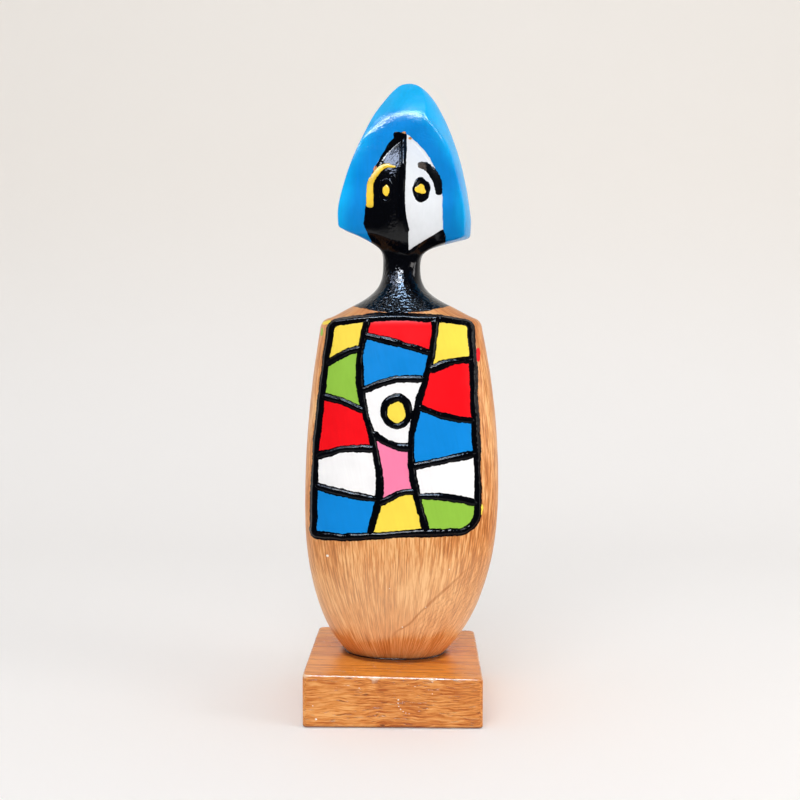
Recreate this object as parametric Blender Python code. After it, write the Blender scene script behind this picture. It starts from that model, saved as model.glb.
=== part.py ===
"""A painted wooden figure on a square plinth.

The figure is carved in one piece: a barrel-shaped body, a thin neck and a wedge-shaped face under a pointed
hood. It stands on a hand-cut block whose top falls a little to one side, so the figure leans with it.
Metres, +Z up, the figure looks along -Y. The origin is the centre of the plinth's underside.
"""

import math

import bmesh
import bpy
from mathutils import Matrix, Vector

MM = 0.001

# Plinth
PLINTH_SIDE = 98 * MM
PLINTH_LEFT_THICKNESS = 29.0 * MM
PLINTH_RIGHT_THICKNESS = 27.0 * MM
PLINTH_CORNER_ROUND = 2.6 * MM
PLINTH_EDGE_ROUND = 1.0 * MM
PLINTH_ROUND_STEPS = 3

# The figure's place on the plinth
SEAT_CLEARANCE = 0.3 * MM
FIGURE_BACK_SHIFT = 5 * MM

# Body: a superellipse below the belly, and above it a side that narrows with the square of the height
FOOT_BEND = 2.2
FOOT_FULLNESS = 0.42
FOOT_BLEND_SHARE = 0.8
BODY_HALF_WIDTH = 55.6 * MM
BODY_HALF_DEPTH = 43.5 * MM
FOOT_DEPTH_SHARE = 0.76
BELLY_HEIGHT = 94.5 * MM
SHOULDER_HEIGHT = 188.5 * MM
SHOULDER_HALF_WIDTH = 46.5 * MM
FOOT_HALF_WIDTH = 29.0 * MM
BELLY_DRIFT = 2.2 * MM
BODY_SQUARENESS = 3.7
FOOT_SQUARENESS = 2.3

# Shoulder slope and neck
SHOULDER_ROUND_IN = 5.25 * MM
SHOULDER_ROUND_UP = 6.65 * MM
LEFT_SHOULDER_DROP = 1.8 * MM
SLOPE_FOOT_HALF_WIDTH = 28.0 * MM
SLOPE_FOOT_HEIGHT = 202.0 * MM
NECK_RADIUS = 10.8 * MM
NECK_HEIGHT = 224.5 * MM
NECK_FLARE_POWER = 2.9
NECK_DEPTH_POWER = 1.5
NECK_ROUND_SHARE = 0.6
NECK_SIDE_SHIFT = -0.5 * MM

# Head, in heights above the thinnest point of the neck
HEAD_ROLL = math.radians(1.4)
HEAD_TOP = 104.5 * MM
HOOD_WIDEST = 27.0 * MM
HOOD_RIGHT_HALF_WIDTH = 38.9 * MM
HOOD_LEFT_HALF_WIDTH = 36.0 * MM
HOOD_BACK_DEPTH = 29.0 * MM
HOOD_SIDE_BACK = 2.0 * MM
HOOD_BACK_RIM = 18.0 * MM
HOOD_RIGHT_RIM = 17.5 * MM
HOOD_LEFT_RIM = 19.6 * MM
HOOD_RIM_ROUND = 2.5 * MM
FACE_HALF_WIDTH = 22.0 * MM
FACE_FOOT = 19.0 * MM
FACE_TOP = 71.0 * MM
FACE_TOP_HALF_WIDTH = 2.0 * MM
CHIN_HEIGHT = 8.0 * MM
BROW_SHARE = 0.45
HOOD_BEND = 1.3
HOOD_FULLNESS = 0.53
HOOD_TUCK = 0.03
BACK_BEND = 1.9
BACK_FULLNESS = 0.58
BACK_CORNER_POWER = 0.9
FACE_BEND = 2.6
FACE_FULLNESS = 0.86
RIM_ROUND_START = 1.3
RIM_ROUND_END = 2.0
CROWN_CROWDING = 1.6

# The hollow sweep under the chin: how far its first handle rises, and its second one rises and spreads
JAW_FIRST_RISE = 0.52
JAW_SECOND_RISE = 0.6
JAW_SPREAD = 1.12

# Carved edges of the head, in mm, as (height, distance to the side, distance to the front)
# The nose bends, so its distance to the side runs to the right, below zero where it lies left of the axis.
NOSE_EDGE = [
    (8.0, 3.8, 15.5), (14.0, 3.2, 20.5), (23.0, 2.0, 26.3), (35.0, 0.5, 29.3),
    (46.0, -0.6, 29.0), (58.0, -1.3, 24.5), (71.0, -2.0, 15.6),
]
CROWN_LINE = [(82.0, -1.0, 19.2), (92.0, -0.6, 11.6), (100.0, -0.3, 5.2), (104.5, 0, 0)]
RIGHT_HOOD_EDGE = [
    (15.5, 34.3, 24.0), (29.0, 33.9, 25.0), (46.0, 29.6, 25.5), (66.5, 22.0, 24.0), (81.5, 11.0, 19.5),
]
RIGHT_CROWN_EDGE = [
    (81.5, 11.0, 19.5), (92.0, 9.4, 12.0), (100.0, 7.0, 5.5), (103.5, 3.8, 1.8), (104.5, 0, 0),
]
LEFT_HOOD_EDGE = [
    (17.8, 36.2, 23.0), (29.0, 36.8, 24.0), (43.0, 34.2, 23.0), (56.0, 30.4, 21.8), (68.0, 26.0, 19.2),
]
LEFT_CROWN_EDGE = [
    (68.0, 26.0, 19.2), (84.0, 19.3, 10.4), (96.0, 11.6, 4.0),
    (101.5, 7.2, 1.5), (103.7, 4.0, 0.6), (104.5, 0, 0),
]
FACE_SIDE_DEPTHS = [(19.0, 0, 16.5), (36.0, 0, 19.3), (55.0, 0, 18.6), (71.0, 0, 15.0)]

# Columns round the figure: the angle of each carved edge from the front, and the faces between them
EDGE_ANGLES = [0, 40, 58, 96, 180]
FACES_BETWEEN = [4, 3, 4, 7]

# Rows of faces up the figure
FOOT_ROWS = 16
BODY_ROWS = 12
SHOULDER_ROWS = 4
SLOPE_ROWS = 2
NECK_ROWS = 7
JAW_ROWS = 6
RIM_ROWS = 2
FACE_ROWS = 17
CROWN_ROWS = 9

# Edges sharper than these angles stay crisp
FIGURE_SHARP_ANGLE = math.radians(28)
PLINTH_SHARP_ANGLE = math.radians(40)

WOOD = (0.62, 0.33, 0.14)
PLINTH_WOOD = (0.58, 0.27, 0.10)


def between(low, high, share):
    return low + (high - low) * share


def smooth_share(value, low, high):
    """0 below low, 1 above high, easing in between."""
    share = min(1.0, max(0.0, (value - low) / (high - low)))
    return share * share * (3 - 2 * share)


def along(stations, height):
    """(side, front) in metres of a carved edge at a height, on a smooth curve through its stations."""
    points = [tuple(value * MM for value in station) for station in stations]
    height = min(max(height, points[0][0]), points[-1][0])
    index = max(i for i in range(len(points) - 1) if points[i][0] <= height)
    start, end = points[index], points[index + 1]
    before = points[max(index - 1, 0)]
    after = points[min(index + 2, len(points) - 1)]
    span = end[0] - start[0]
    share = (height - start[0]) / span
    found = []
    for axis in (1, 2):
        slope_in = (end[axis] - before[axis]) / (end[0] - before[0]) * span
        slope_out = (after[axis] - start[axis]) / (after[0] - start[0]) * span
        found.append(
            start[axis] * (2 * share**3 - 3 * share**2 + 1)
            + slope_in * (share**3 - 2 * share**2 + share)
            + end[axis] * (3 * share**2 - 2 * share**3)
            + slope_out * (share**3 - share**2)
        )
    return found


def columns():
    """(edge index, share towards the next edge, side) of every column, from the front round the right."""
    right = []
    for index, count in enumerate(FACES_BETWEEN):
        right += [(index, step / count) for step in range(count)]
    back = [(len(FACES_BETWEEN) - 1, 1.0, 1)]
    left = [(index, share, -1) for index, share in reversed(right[1:])]
    return [(index, share, 1) for index, share in right] + back + left


def column_angle(column):
    index, share, side = column
    return side * math.radians(between(EDGE_ANGLES[index], EDGE_ANGLES[index + 1], share))


def oval(angle, half_width, half_depth, squareness):
    """(x, y) on a rounded rectangle about the axis. The angle runs from the front to the right."""
    across = abs(math.sin(angle)) / half_width
    deep = abs(math.cos(angle)) / half_depth
    radius = (across**squareness + deep**squareness) ** (-1 / squareness)
    return radius * math.sin(angle), -radius * math.cos(angle)


def foot_profile(height):
    """Half width of the body below its belly."""
    foot_share = 1 - (FOOT_HALF_WIDTH / BODY_HALF_WIDTH) ** (1 / FOOT_FULLNESS)
    span = BELLY_HEIGHT / foot_share ** (1 / FOOT_BEND)
    return BODY_HALF_WIDTH * (1 - ((BELLY_HEIGHT - height) / span) ** FOOT_BEND) ** FOOT_FULLNESS


def side_profile(height):
    """Half width of the body from its belly up to the shoulder."""
    share = (height - BELLY_HEIGHT) / (SHOULDER_HEIGHT - BELLY_HEIGHT)
    return BODY_HALF_WIDTH - (BODY_HALF_WIDTH - SHOULDER_HALF_WIDTH) * share**2


def shoulder_profile(share):
    """(height, half width) on the rounded shoulder, from the side to the slope."""
    turn = share * math.pi / 2
    return (
        SHOULDER_HEIGHT + SHOULDER_ROUND_UP * math.sin(turn),
        SHOULDER_HALF_WIDTH - SHOULDER_ROUND_IN * (1 - math.cos(turn)),
    )


def neck_profile(height):
    """Half width of the flare from the foot of the neck to its thinnest point."""
    share = (height - SLOPE_FOOT_HEIGHT) / (NECK_HEIGHT - SLOPE_FOOT_HEIGHT)
    return NECK_RADIUS + (SLOPE_FOOT_HALF_WIDTH - NECK_RADIUS) * (1 - share) ** NECK_FLARE_POWER


def body_levels():
    """(height, half width) of every row from the foot to the thinnest point of the neck."""
    levels = [
        (BELLY_HEIGHT * row / FOOT_ROWS, foot_profile(BELLY_HEIGHT * row / FOOT_ROWS))
        for row in range(FOOT_ROWS)
    ]
    for row in range(BODY_ROWS):
        height = between(BELLY_HEIGHT, SHOULDER_HEIGHT, row / BODY_ROWS)
        levels.append((height, side_profile(height)))
    levels += [shoulder_profile(row / SHOULDER_ROWS) for row in range(SHOULDER_ROWS + 1)]
    slope_start = levels[-1]
    for row in range(1, SLOPE_ROWS):
        share = row / SLOPE_ROWS
        levels.append(
            (
                between(slope_start[0], SLOPE_FOOT_HEIGHT, share),
                between(slope_start[1], SLOPE_FOOT_HALF_WIDTH, share),
            )
        )
    for row in range(NECK_ROWS + 1):
        height = between(SLOPE_FOOT_HEIGHT, NECK_HEIGHT, row / NECK_ROWS)
        levels.append((height, neck_profile(height)))
    return levels


def body_ring(height, half_width, angles):
    """Points of one level row of the body, the shoulder or the neck."""
    above_foot = smooth_share(height, 0, BELLY_HEIGHT * FOOT_BLEND_SHARE)
    round_height = between(SLOPE_FOOT_HEIGHT, NECK_HEIGHT, NECK_ROUND_SHARE)
    up_neck = smooth_share(height, SHOULDER_HEIGHT, round_height)
    depth_share = between(FOOT_DEPTH_SHARE, BODY_HALF_DEPTH / BODY_HALF_WIDTH, above_foot)
    slope_height, slope_width = shoulder_profile(1)
    if height > slope_height:
        rise = min(1.0, (height - slope_height) / (NECK_HEIGHT - slope_height))
        depth = between(NECK_RADIUS, slope_width * depth_share, (1 - rise) ** NECK_DEPTH_POWER)
        depth_share = depth / half_width
    squareness = between(FOOT_SQUARENESS, BODY_SQUARENESS, above_foot)
    squareness = between(squareness, 2.0, up_neck)
    at_shoulder = smooth_share(height, BELLY_HEIGHT, SHOULDER_HEIGHT)
    drift = BELLY_DRIFT * math.sin(math.pi * min(1.0, height / SHOULDER_HEIGHT))
    shift = drift + NECK_SIDE_SHIFT * smooth_share(height, SHOULDER_HEIGHT, NECK_HEIGHT)
    ring = []
    for angle in angles:
        x, y = oval(angle, half_width, half_width * depth_share, squareness)
        drop = LEFT_SHOULDER_DROP * at_shoulder * smooth_share(-x, 0, SHOULDER_HALF_WIDTH)
        ring.append(Vector((x + shift, y, height - drop)))
    return ring


def ogive(height, low):
    """The hood's outline as a share of its widest, from low up to its rounded top."""
    share = min(1.0, max(0.0, (height - low) / (HEAD_TOP - low)))
    return (1 - share**HOOD_BEND) ** HOOD_FULLNESS


def hood_side(height, side):
    """(side, front) of the hood's outer side at a height."""
    widest = HOOD_RIGHT_HALF_WIDTH if side > 0 else HOOD_LEFT_HALF_WIDTH
    tuck = HOOD_TUCK * max(0.0, 1 - height / HOOD_WIDEST) ** 2
    return widest * (ogive(height, HOOD_WIDEST) - tuck), -HOOD_SIDE_BACK * ogive(height, HOOD_WIDEST)


def hood_back(height):
    share = min(1.0, max(0.0, (height - HOOD_BACK_RIM) / (HEAD_TOP - HOOD_BACK_RIM)))
    return HOOD_BACK_DEPTH * (1 - share**BACK_BEND) ** BACK_FULLNESS


def face_side(height):
    """(side, front) of the valley between face and hood, an arch that closes at the face's top."""
    share = min(1.0, max(0.0, (height - FACE_FOOT) / (FACE_TOP - FACE_FOOT)))
    half_width = max(FACE_TOP_HALF_WIDTH, FACE_HALF_WIDTH * (1 - share**FACE_BEND) ** FACE_FULLNESS)
    return half_width, along(FACE_SIDE_DEPTHS, height)[1]


def head_edges(section, share, side):
    """The five carved edges at one row of the head, as points, on one side of the face.

    The section is "rim", "face" or "crown", and share runs from its lowest row to its highest.
    """
    hood_edge = RIGHT_HOOD_EDGE if side > 0 else LEFT_HOOD_EDGE
    crown_edge = RIGHT_CROWN_EDGE if side > 0 else LEFT_CROWN_EDGE
    arch = hood_edge[-1][0] * MM
    brow_front = CROWN_LINE[0][0] * MM
    brow_side = between(brow_front, arch, BROW_SHARE**2)
    side_rim = HOOD_RIGHT_RIM if side > 0 else HOOD_LEFT_RIM
    lows = [CHIN_HEIGHT, FACE_FOOT, hood_edge[0][0] * MM, side_rim, HOOD_BACK_RIM]
    highs = [brow_front, brow_side, arch, arch, between(brow_front, arch, 0.5)]
    if section == "crown":
        heights = [between(high, HEAD_TOP, share) for high in highs]
    elif section == "rim":
        heights = [low + HOOD_RIM_ROUND * share for low in lows]
    else:
        heights = [between(low + HOOD_RIM_ROUND, high, share) for low, high in zip(lows, highs)]
    nose = along(CROWN_LINE if section == "crown" or heights[0] > brow_front else NOSE_EDGE, heights[0])
    ridge = along(crown_edge if section == "crown" else hood_edge, heights[2])
    nose[0] *= side
    if section == "crown":
        valley = [between(nose[axis], ridge[axis], BROW_SHARE) for axis in (0, 1)]
    else:
        valley = list(face_side(heights[1]))
    if section == "face" and heights[0] > FACE_TOP:
        rise = (heights[0] - FACE_TOP) / (brow_front - FACE_TOP)
        low, high = along(NOSE_EDGE, FACE_TOP), along(CROWN_LINE, brow_front)
        nose = [between(low[0], high[0], rise) * side, between(low[1], high[1], rise)]
    if section == "face" and heights[1] > FACE_TOP:
        rise = (heights[1] - FACE_TOP) / (highs[1] - FACE_TOP)
        brow, corner = along(CROWN_LINE, brow_front), along(crown_edge, arch)
        valley[0] = between(valley[0], between(brow[0] * side, corner[0], BROW_SHARE), rise)
        valley[1] = between(valley[1], between(brow[1], corner[1], BROW_SHARE), rise)
    outer = hood_side(heights[3], side)
    edges = [nose, valley, ridge, outer, (0.0, -hood_back(heights[4]))]
    return [Vector((side * edge[0], -edge[1], height)) for edge, height in zip(edges, heights)]


def arch_lift(edges, index, step):
    """How far the brow's arch stands above the straight line between two carved edges."""
    ends = [0.0, BROW_SHARE, 1.0]
    across = between(ends[index], ends[index + 1], step)
    straight = between(ends[index] ** 2, ends[index + 1] ** 2, step)
    return (edges[2].z - edges[0].z) * (across**2 - straight)


def head_ring(section, share):
    """Points of one row of the head, relative to the thinnest point of the neck."""
    rounding = HOOD_RIM_ROUND * (1 - math.sqrt(1 - (1 - share) ** 2)) if section == "rim" else 0.0
    brow_weight = {"rim": 0.0, "face": share**3, "crown": 1 - share}[section]
    both = {side: head_edges(section, share, side) for side in (1, -1)}
    ring = []
    for index, step, side in columns():
        start, end = both[side][index], both[side][index + 1]
        if index == 2:
            ease = 1 - (1 - step) ** 2
            point = start.lerp(end, step)
            point.x = between(start.x, end.x, ease)
        elif index == 3:
            turn = step * math.pi / 2
            point = start.lerp(end, step)
            point.x = start.x * math.cos(turn) ** BACK_CORNER_POWER
            point.y = between(start.y, end.y, math.sin(turn) ** BACK_CORNER_POWER)
        else:
            point = start.lerp(end, step)
            point.z += arch_lift(both[side], index, step) * brow_weight
        in_hood = smooth_share(index + step, RIM_ROUND_START, RIM_ROUND_END)
        flat = Vector((point.x, point.y, 0))
        if rounding and flat.length > 0:
            point -= flat.normalized() * rounding * in_hood
        ring.append(point)
    return ring


def jaw_ring(share, neck_points, rim_points):
    """Points of one row of the hollow sweep from the neck out to the hood's rim and the chin."""
    ring = []
    for low, high in zip(neck_points, rim_points):
        rise = high.z - low.z
        first = low + Vector((0, 0, JAW_FIRST_RISE * rise))
        second = Vector((low.x * JAW_SPREAD, low.y * JAW_SPREAD, low.z + JAW_SECOND_RISE * rise))
        ring.append(
            low * (1 - share) ** 3
            + first * 3 * share * (1 - share) ** 2
            + second * 3 * share**2 * (1 - share)
            + high * share**3
        )
    return ring


def figure_rings():
    """Every row of points of the figure, from its flat foot to the top of the hood."""
    angles = [column_angle(column) for column in columns()]
    rings = [body_ring(height, half_width, angles) for height, half_width in body_levels()]
    neck_centre = sum(rings[-1], Vector()) / len(rings[-1])
    neck_centre = Vector((neck_centre.x, 0, NECK_HEIGHT))
    neck_points = [point - neck_centre for point in rings[-1]]
    rim_points = head_ring("rim", 0)
    head = [jaw_ring(row / JAW_ROWS, neck_points, rim_points) for row in range(1, JAW_ROWS)]
    head += [head_ring("rim", row / RIM_ROWS) for row in range(RIM_ROWS)]
    head += [head_ring("face", row / FACE_ROWS) for row in range(FACE_ROWS)]
    crowded = [1 - (1 - row / CROWN_ROWS) ** CROWN_CROWDING for row in range(CROWN_ROWS)]
    head += [head_ring("crown", share) for share in crowded]
    roll = Matrix.Rotation(HEAD_ROLL, 3, "Y")
    rings += [[neck_centre + roll @ point for point in ring] for ring in head]
    return rings, neck_centre + roll @ Vector((0, 0, HEAD_TOP))


def material(name, colour, roughness):
    made = bpy.data.materials.new(name)
    made.use_nodes = True
    shader = made.node_tree.nodes["Principled BSDF"]
    shader.inputs["Base Color"].default_value = (*colour, 1)
    shader.inputs["Roughness"].default_value = roughness
    return made


def add_object(name, mesh_builder, finish):
    mesh = bpy.data.meshes.new(name)
    mesh_builder.to_mesh(mesh)
    mesh_builder.free()
    mesh.materials.append(finish)
    made = bpy.data.objects.new(name, mesh)
    bpy.context.scene.collection.objects.link(made)
    return made


def make_figure():
    """The carved figure, a skin stretched over its rows of points, flat at the foot."""
    rings, top = figure_rings()
    bm = bmesh.new()
    loops = []
    for ring in rings:
        corners = [bm.verts.new(point) for point in ring]
        loops.append([bm.edges.new((a, b)) for a, b in zip(corners, corners[1:] + corners[:1])])
    for lower, upper in zip(loops, loops[1:]):
        bmesh.ops.bridge_loops(bm, edges=lower + upper)
    tip = bm.verts.new(top)
    for edge in loops[-1]:
        bm.faces.new((*edge.verts, tip))
    bmesh.ops.contextual_create(bm, geom=loops[0])
    bmesh.ops.recalc_face_normals(bm, faces=bm.faces)
    figure = add_object("figure", bm, material("varnished_wood", WOOD, 0.35))
    figure.data.shade_smooth()
    figure.data.set_sharp_from_angle(angle=FIGURE_SHARP_ANGLE)
    return figure


def make_plinth():
    """The block under the figure, with its top falling from left to right."""
    bm = bmesh.new()
    bmesh.ops.create_cube(bm, size=1)
    for vert in bm.verts:
        thickness = PLINTH_LEFT_THICKNESS if vert.co.x < 0 else PLINTH_RIGHT_THICKNESS
        vert.co = (
            vert.co.x * PLINTH_SIDE,
            vert.co.y * PLINTH_SIDE,
            thickness if vert.co.z > 0 else 0,
        )
    upright = [
        edge for edge in bm.edges
        if abs(edge.verts[0].co.z - edge.verts[1].co.z) > PLINTH_CORNER_ROUND
    ]
    bmesh.ops.bevel(
        bm, geom=upright, offset=PLINTH_CORNER_ROUND, segments=PLINTH_ROUND_STEPS, profile=0.5,
        affect="EDGES", material=-1,
    )
    flat = [
        edge
        for edge in bm.edges
        if abs(edge.verts[0].co.z - edge.verts[1].co.z) < PLINTH_CORNER_ROUND
        and any(abs(face.normal.z) < 0.5 for face in edge.link_faces)
    ]
    bmesh.ops.bevel(
        bm, geom=flat, offset=PLINTH_EDGE_ROUND, segments=PLINTH_ROUND_STEPS - 1, profile=0.5,
        affect="EDGES", material=-1,
    )
    plinth = add_object("plinth", bm, material("stained_wood", PLINTH_WOOD, 0.4))
    plinth.data.shade_smooth()
    plinth.data.set_sharp_from_angle(angle=PLINTH_SHARP_ANGLE)
    return plinth


def clear_scene():
    for found in list(bpy.data.objects):
        bpy.data.objects.remove(found)


def main():
    clear_scene()
    make_plinth()
    figure = make_figure()
    lean = math.atan2(PLINTH_LEFT_THICKNESS - PLINTH_RIGHT_THICKNESS, PLINTH_SIDE)
    middle = (PLINTH_LEFT_THICKNESS + PLINTH_RIGHT_THICKNESS) / 2
    figure.location = (0, FIGURE_BACK_SHIFT, middle + SEAT_CLEARANCE)
    figure.rotation_euler = (0, lean, 0)


main()
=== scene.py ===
"""The looks of a carved and painted wooden figure on its plinth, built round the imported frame.

The file is laid out as a Blender add-on and runs as a script. Each group of like pieces is made by its own
operator, and main() calls them in order. Everything is in metres, +Z up, and the figure looks along -Y.
"""

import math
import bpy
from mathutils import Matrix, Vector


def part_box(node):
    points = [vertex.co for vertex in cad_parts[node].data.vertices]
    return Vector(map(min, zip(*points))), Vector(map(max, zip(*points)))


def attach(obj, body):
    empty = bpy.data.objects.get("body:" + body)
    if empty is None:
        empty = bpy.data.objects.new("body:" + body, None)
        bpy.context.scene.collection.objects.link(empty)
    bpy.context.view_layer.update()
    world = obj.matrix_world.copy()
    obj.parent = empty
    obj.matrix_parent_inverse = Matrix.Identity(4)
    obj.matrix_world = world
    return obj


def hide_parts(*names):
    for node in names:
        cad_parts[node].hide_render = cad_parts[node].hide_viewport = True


bl_info = {
    "name": "Painted Wooden Figure",
    "version": (1, 0, 0),
    "blender": (4, 5, 0),
    "location": "3D View > Sidebar > Figure",
    "description": "Builds a carved figure with painted hood, face and panel, its plinth and a plain studio",
    "category": "Add Mesh",
}

import bmesh
import bpy
from bpy.props import FloatProperty, FloatVectorProperty, PointerProperty
from mathutils import Matrix, Vector, noise
from mathutils.bvhtree import BVHTree

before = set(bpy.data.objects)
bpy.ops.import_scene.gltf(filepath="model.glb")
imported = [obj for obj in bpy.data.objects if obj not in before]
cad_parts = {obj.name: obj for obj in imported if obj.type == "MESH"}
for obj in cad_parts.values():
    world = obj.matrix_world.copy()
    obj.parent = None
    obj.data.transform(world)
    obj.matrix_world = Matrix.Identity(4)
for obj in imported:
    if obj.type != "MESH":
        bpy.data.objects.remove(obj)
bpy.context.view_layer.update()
MM = 0.001

# The frame's own places
PLINTH_LOW, PLINTH_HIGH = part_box("plinth")
FIGURE_LOW, FIGURE_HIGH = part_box("figure")
PLINTH_SIDE = PLINTH_HIGH.x - PLINTH_LOW.x
FIGURE_BACK_SHIFT = (FIGURE_LOW.y + FIGURE_HIGH.y) / 2

# Plinth
TOP_FALL = 2.0 * MM
SEAT_CLEARANCE = 0.3 * MM

# Body
FOOT_DEPTH_SHARE = 0.76
BELLY_HEIGHT = 94.5 * MM
SHOULDER_HEIGHT = 188.5 * MM
FOOT_HALF_WIDTH = 29.0 * MM
BELLY_DRIFT = 2.2 * MM
BODY_SQUARENESS = 3.7
FOOT_SQUARENESS = 2.3
FOOT_CURVE_POWER = 2.2
FOOT_CURVE_ROOT = 0.42
FOOT_BLEND = 0.8

# Shoulder slope and neck
SHOULDER_ROUND = 7.0 * MM
SHOULDER_RISE_SHARE = 0.95
SHOULDER_IN_SHARE = 0.75
LEFT_SHOULDER_DROP = 1.8 * MM
SLOPE_FOOT_HALF_WIDTH = 28.0 * MM
SLOPE_FOOT_HEIGHT = 202.0 * MM
NECK_HEIGHT = 224.5 * MM
NECK_FLARE_POWER = 2.9
NECK_SIDE_SHIFT = -0.5 * MM
NECK_DEPTH_POWER = 1.5
NECK_BLEND = 0.6

# Head, in heights above the thinnest point of the neck
HEAD_ROLL = math.radians(1.4)
HEAD_TOP = 104.5 * MM
HOOD_WIDEST = 27.0 * MM
HOOD_RIGHT_HALF_WIDTH = 38.9 * MM
HOOD_LEFT_HALF_WIDTH = 36.0 * MM
HOOD_BACK_DEPTH = 29.0 * MM
HOOD_SIDE_BACK = 2.0 * MM
HOOD_BACK_RIM = 18.0 * MM
HOOD_RIGHT_RIM = 17.5 * MM
HOOD_LEFT_RIM = 19.6 * MM
HOOD_RIM_ROUND = 2.5 * MM
HOOD_RIM_ROUNDED = (1.3, 2.0)
HOOD_TUCK = 0.03
HOOD_CURVE = (1.3, 0.53)
HOOD_BACK_CURVE = (1.9, 0.58)
HOOD_BACK_FULLNESS = 0.9
FACE_HALF_WIDTH = 22.0 * MM
FACE_FOOT = 19.0 * MM
FACE_TOP = 71.0 * MM
FACE_TOP_HALF_WIDTH = 2.0 * MM
FACE_CURVE = (2.6, 0.86)
CHIN_HEIGHT = 8.0 * MM
BROW_SHARE = 0.45
JAW_RISE = 0.52
JAW_SPREAD = 1.12
JAW_SPREAD_RISE = 0.6

# Carved edges of the head, in mm, as (height, distance to the side, distance to the front)
NOSE_EDGE = [
    (8.0, 3.8, 15.5), (14.0, 3.2, 20.5), (23.0, 2.0, 26.3), (35.0, 0.5, 29.3),
    (46.0, -0.6, 29.0), (58.0, -1.3, 24.5), (71.0, -2.0, 15.6),
]
CROWN_LINE = [(82.0, -1.0, 19.2), (92.0, -0.6, 11.6), (100.0, -0.3, 5.2), (104.5, 0, 0)]
RIGHT_HOOD_EDGE = [
    (15.5, 34.3, 24.0), (29.0, 33.9, 25.0), (46.0, 29.6, 25.5), (66.5, 22.0, 24.0), (81.5, 11.0, 19.5),
]
RIGHT_CROWN_EDGE = [
    (81.5, 11.0, 19.5), (92.0, 9.4, 12.0), (100.0, 7.0, 5.5), (103.5, 3.8, 1.8), (104.5, 0, 0),
]
LEFT_HOOD_EDGE = [
    (17.8, 36.2, 23.0), (29.0, 36.8, 24.0), (43.0, 34.2, 23.0), (56.0, 30.4, 21.8), (68.0, 26.0, 19.2),
]
LEFT_CROWN_EDGE = [
    (68.0, 26.0, 19.2), (84.0, 19.3, 10.4), (96.0, 11.6, 4.0),
    (101.5, 7.2, 1.5), (103.7, 4.0, 0.6), (104.5, 0, 0),
]
FACE_SIDE_DEPTHS = [(19.0, 0, 16.5), (36.0, 0, 19.3), (55.0, 0, 18.6), (71.0, 0, 15.0)]

# Columns round the figure: the angle of each carved edge from the front, and the faces between them
EDGE_ANGLES = [0, 40, 58, 96, 180]
FACES_BETWEEN = [17, 14, 18, 26]
EDGE_CROWDING = 0.6

# Rows of faces up the figure
FOOT_ROWS = 62
BODY_ROWS = 58
SHOULDER_ROWS = 16
SLOPE_ROWS = 8
NECK_ROWS = 32
JAW_ROWS = 30
RIM_ROWS = 8
FACE_ROWS = 116
CROWN_ROWS = 52
CROWN_CROWDING = 1.6
CURVE_STEPS = 24

# Levels stored on the figure for its paint: the neck, the hood's rim, the brow and the top
NECK_LEVEL = 1.0
RIM_LEVEL = 2.0
FACE_LEVEL = 2.1
BROW_LEVEL = 3.0
TOP_LEVEL = 4.0

# Knife marks
BROAD_KNIFE_MARKS = 26.0 * MM
FINE_KNIFE_MARKS = 9.0 * MM
FINE_KNIFE_SHARE = 0.45

# Softened edges: how often each is smoothed, and the levels and columns where it starts and ends
EDGE_PASSES = 7
JAW_PASSES = 160
JAW_LEVELS = ((0.97, 1.2), (2.2, 2.75))
JAW_FRONT = (2.0 * MM, 8.0 * MM)
JAW_SIDES = (22.0 * MM, 30.0 * MM)
CREASE_PASSES = 200
CREASE_LEVELS = ((2.78, 2.94), (3.06, 3.3))
CREASE_COLUMNS = (1.4, 1.95)
CROWN_PASSES = 60
CROWN_LEVELS = ((3.1, 3.3), (3.8, 3.95))
CROWN_COLUMNS = (1.6, 2.0)

# The painted panel, seen from the front in mm: its edges at rising shares of its width or height
PANEL_LEFT = [-44.6, -43.9, -42.8, -40.4, -37.6, -34.6]
PANEL_RIGHT = [46.4, 46.4, 45.6, 44.4, 43.8, 42.8]
PANEL_BOTTOM = [102.2, 102.2, 103.2, 104.6, 105.0, 105.6]
PANEL_TOP = [219.4, 221.4, 222.4, 222.2, 221.4, 219.4]
PANEL_CORNERS = {"bottom_left": 1.2, "bottom_right": 10.0, "top_right": 3.5, "top_left": 3.5}
SKIN_COLUMNS = 124
SKIN_ROWS = 168

# The panel's design: two swaying lines part it in three, and slanted lines cut each strip
SWAY_LINES = [(0.32, 0.085, 0.85, 0.05), (0.67, 0.075, 0.80, 0.45)]
CROSS_LINES = [
    [(0.835, 0.060, 0.010), (0.615, -0.085, 0.012), (0.385, 0.030, 0.020), (0.200, -0.070, 0.000)],
    [(0.880, -0.090, 0.000), (0.690, 0.050, 0.020), (0.435, -0.075, -0.020), (0.170, 0.050, 0.015)],
    [(0.790, 0.070, 0.012), (0.560, -0.060, -0.015), (0.340, 0.065, 0.000), (0.150, -0.040, 0.015)],
]
DISC_CENTRE = (0.50, 0.565)
DISC_RADIUS = 7.2 * MM
DISC_SHAPE = (0.95, 1.08)
PATH_STEPS = 60
DISC_COLOUR = "yellow"
STRIP_COLOURS = [
    ["yellow", "green", "red", "cell_white", "blue"],
    ["red", "blue", "cell_white", "pink", "yellow"],
    ["yellow", "red", "blue", "cell_white", "green"],
]

# Camera and studio
CAMERA_PLACE = (0.0151, -0.6080, 0.2078)
CAMERA_DOWN = math.radians(3.05)
CAMERA_TURN = math.radians(1.13)
CAMERA_LENS = 47.31
CAMERA_SENSOR = 36.0

# How strongly the paints and the varnish mirror the room
SHEEN = 0.4
FIGURE_SHEEN = 0.2
PANEL_SHEEN = 0.10
LINE_SHEEN = 0.09

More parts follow.
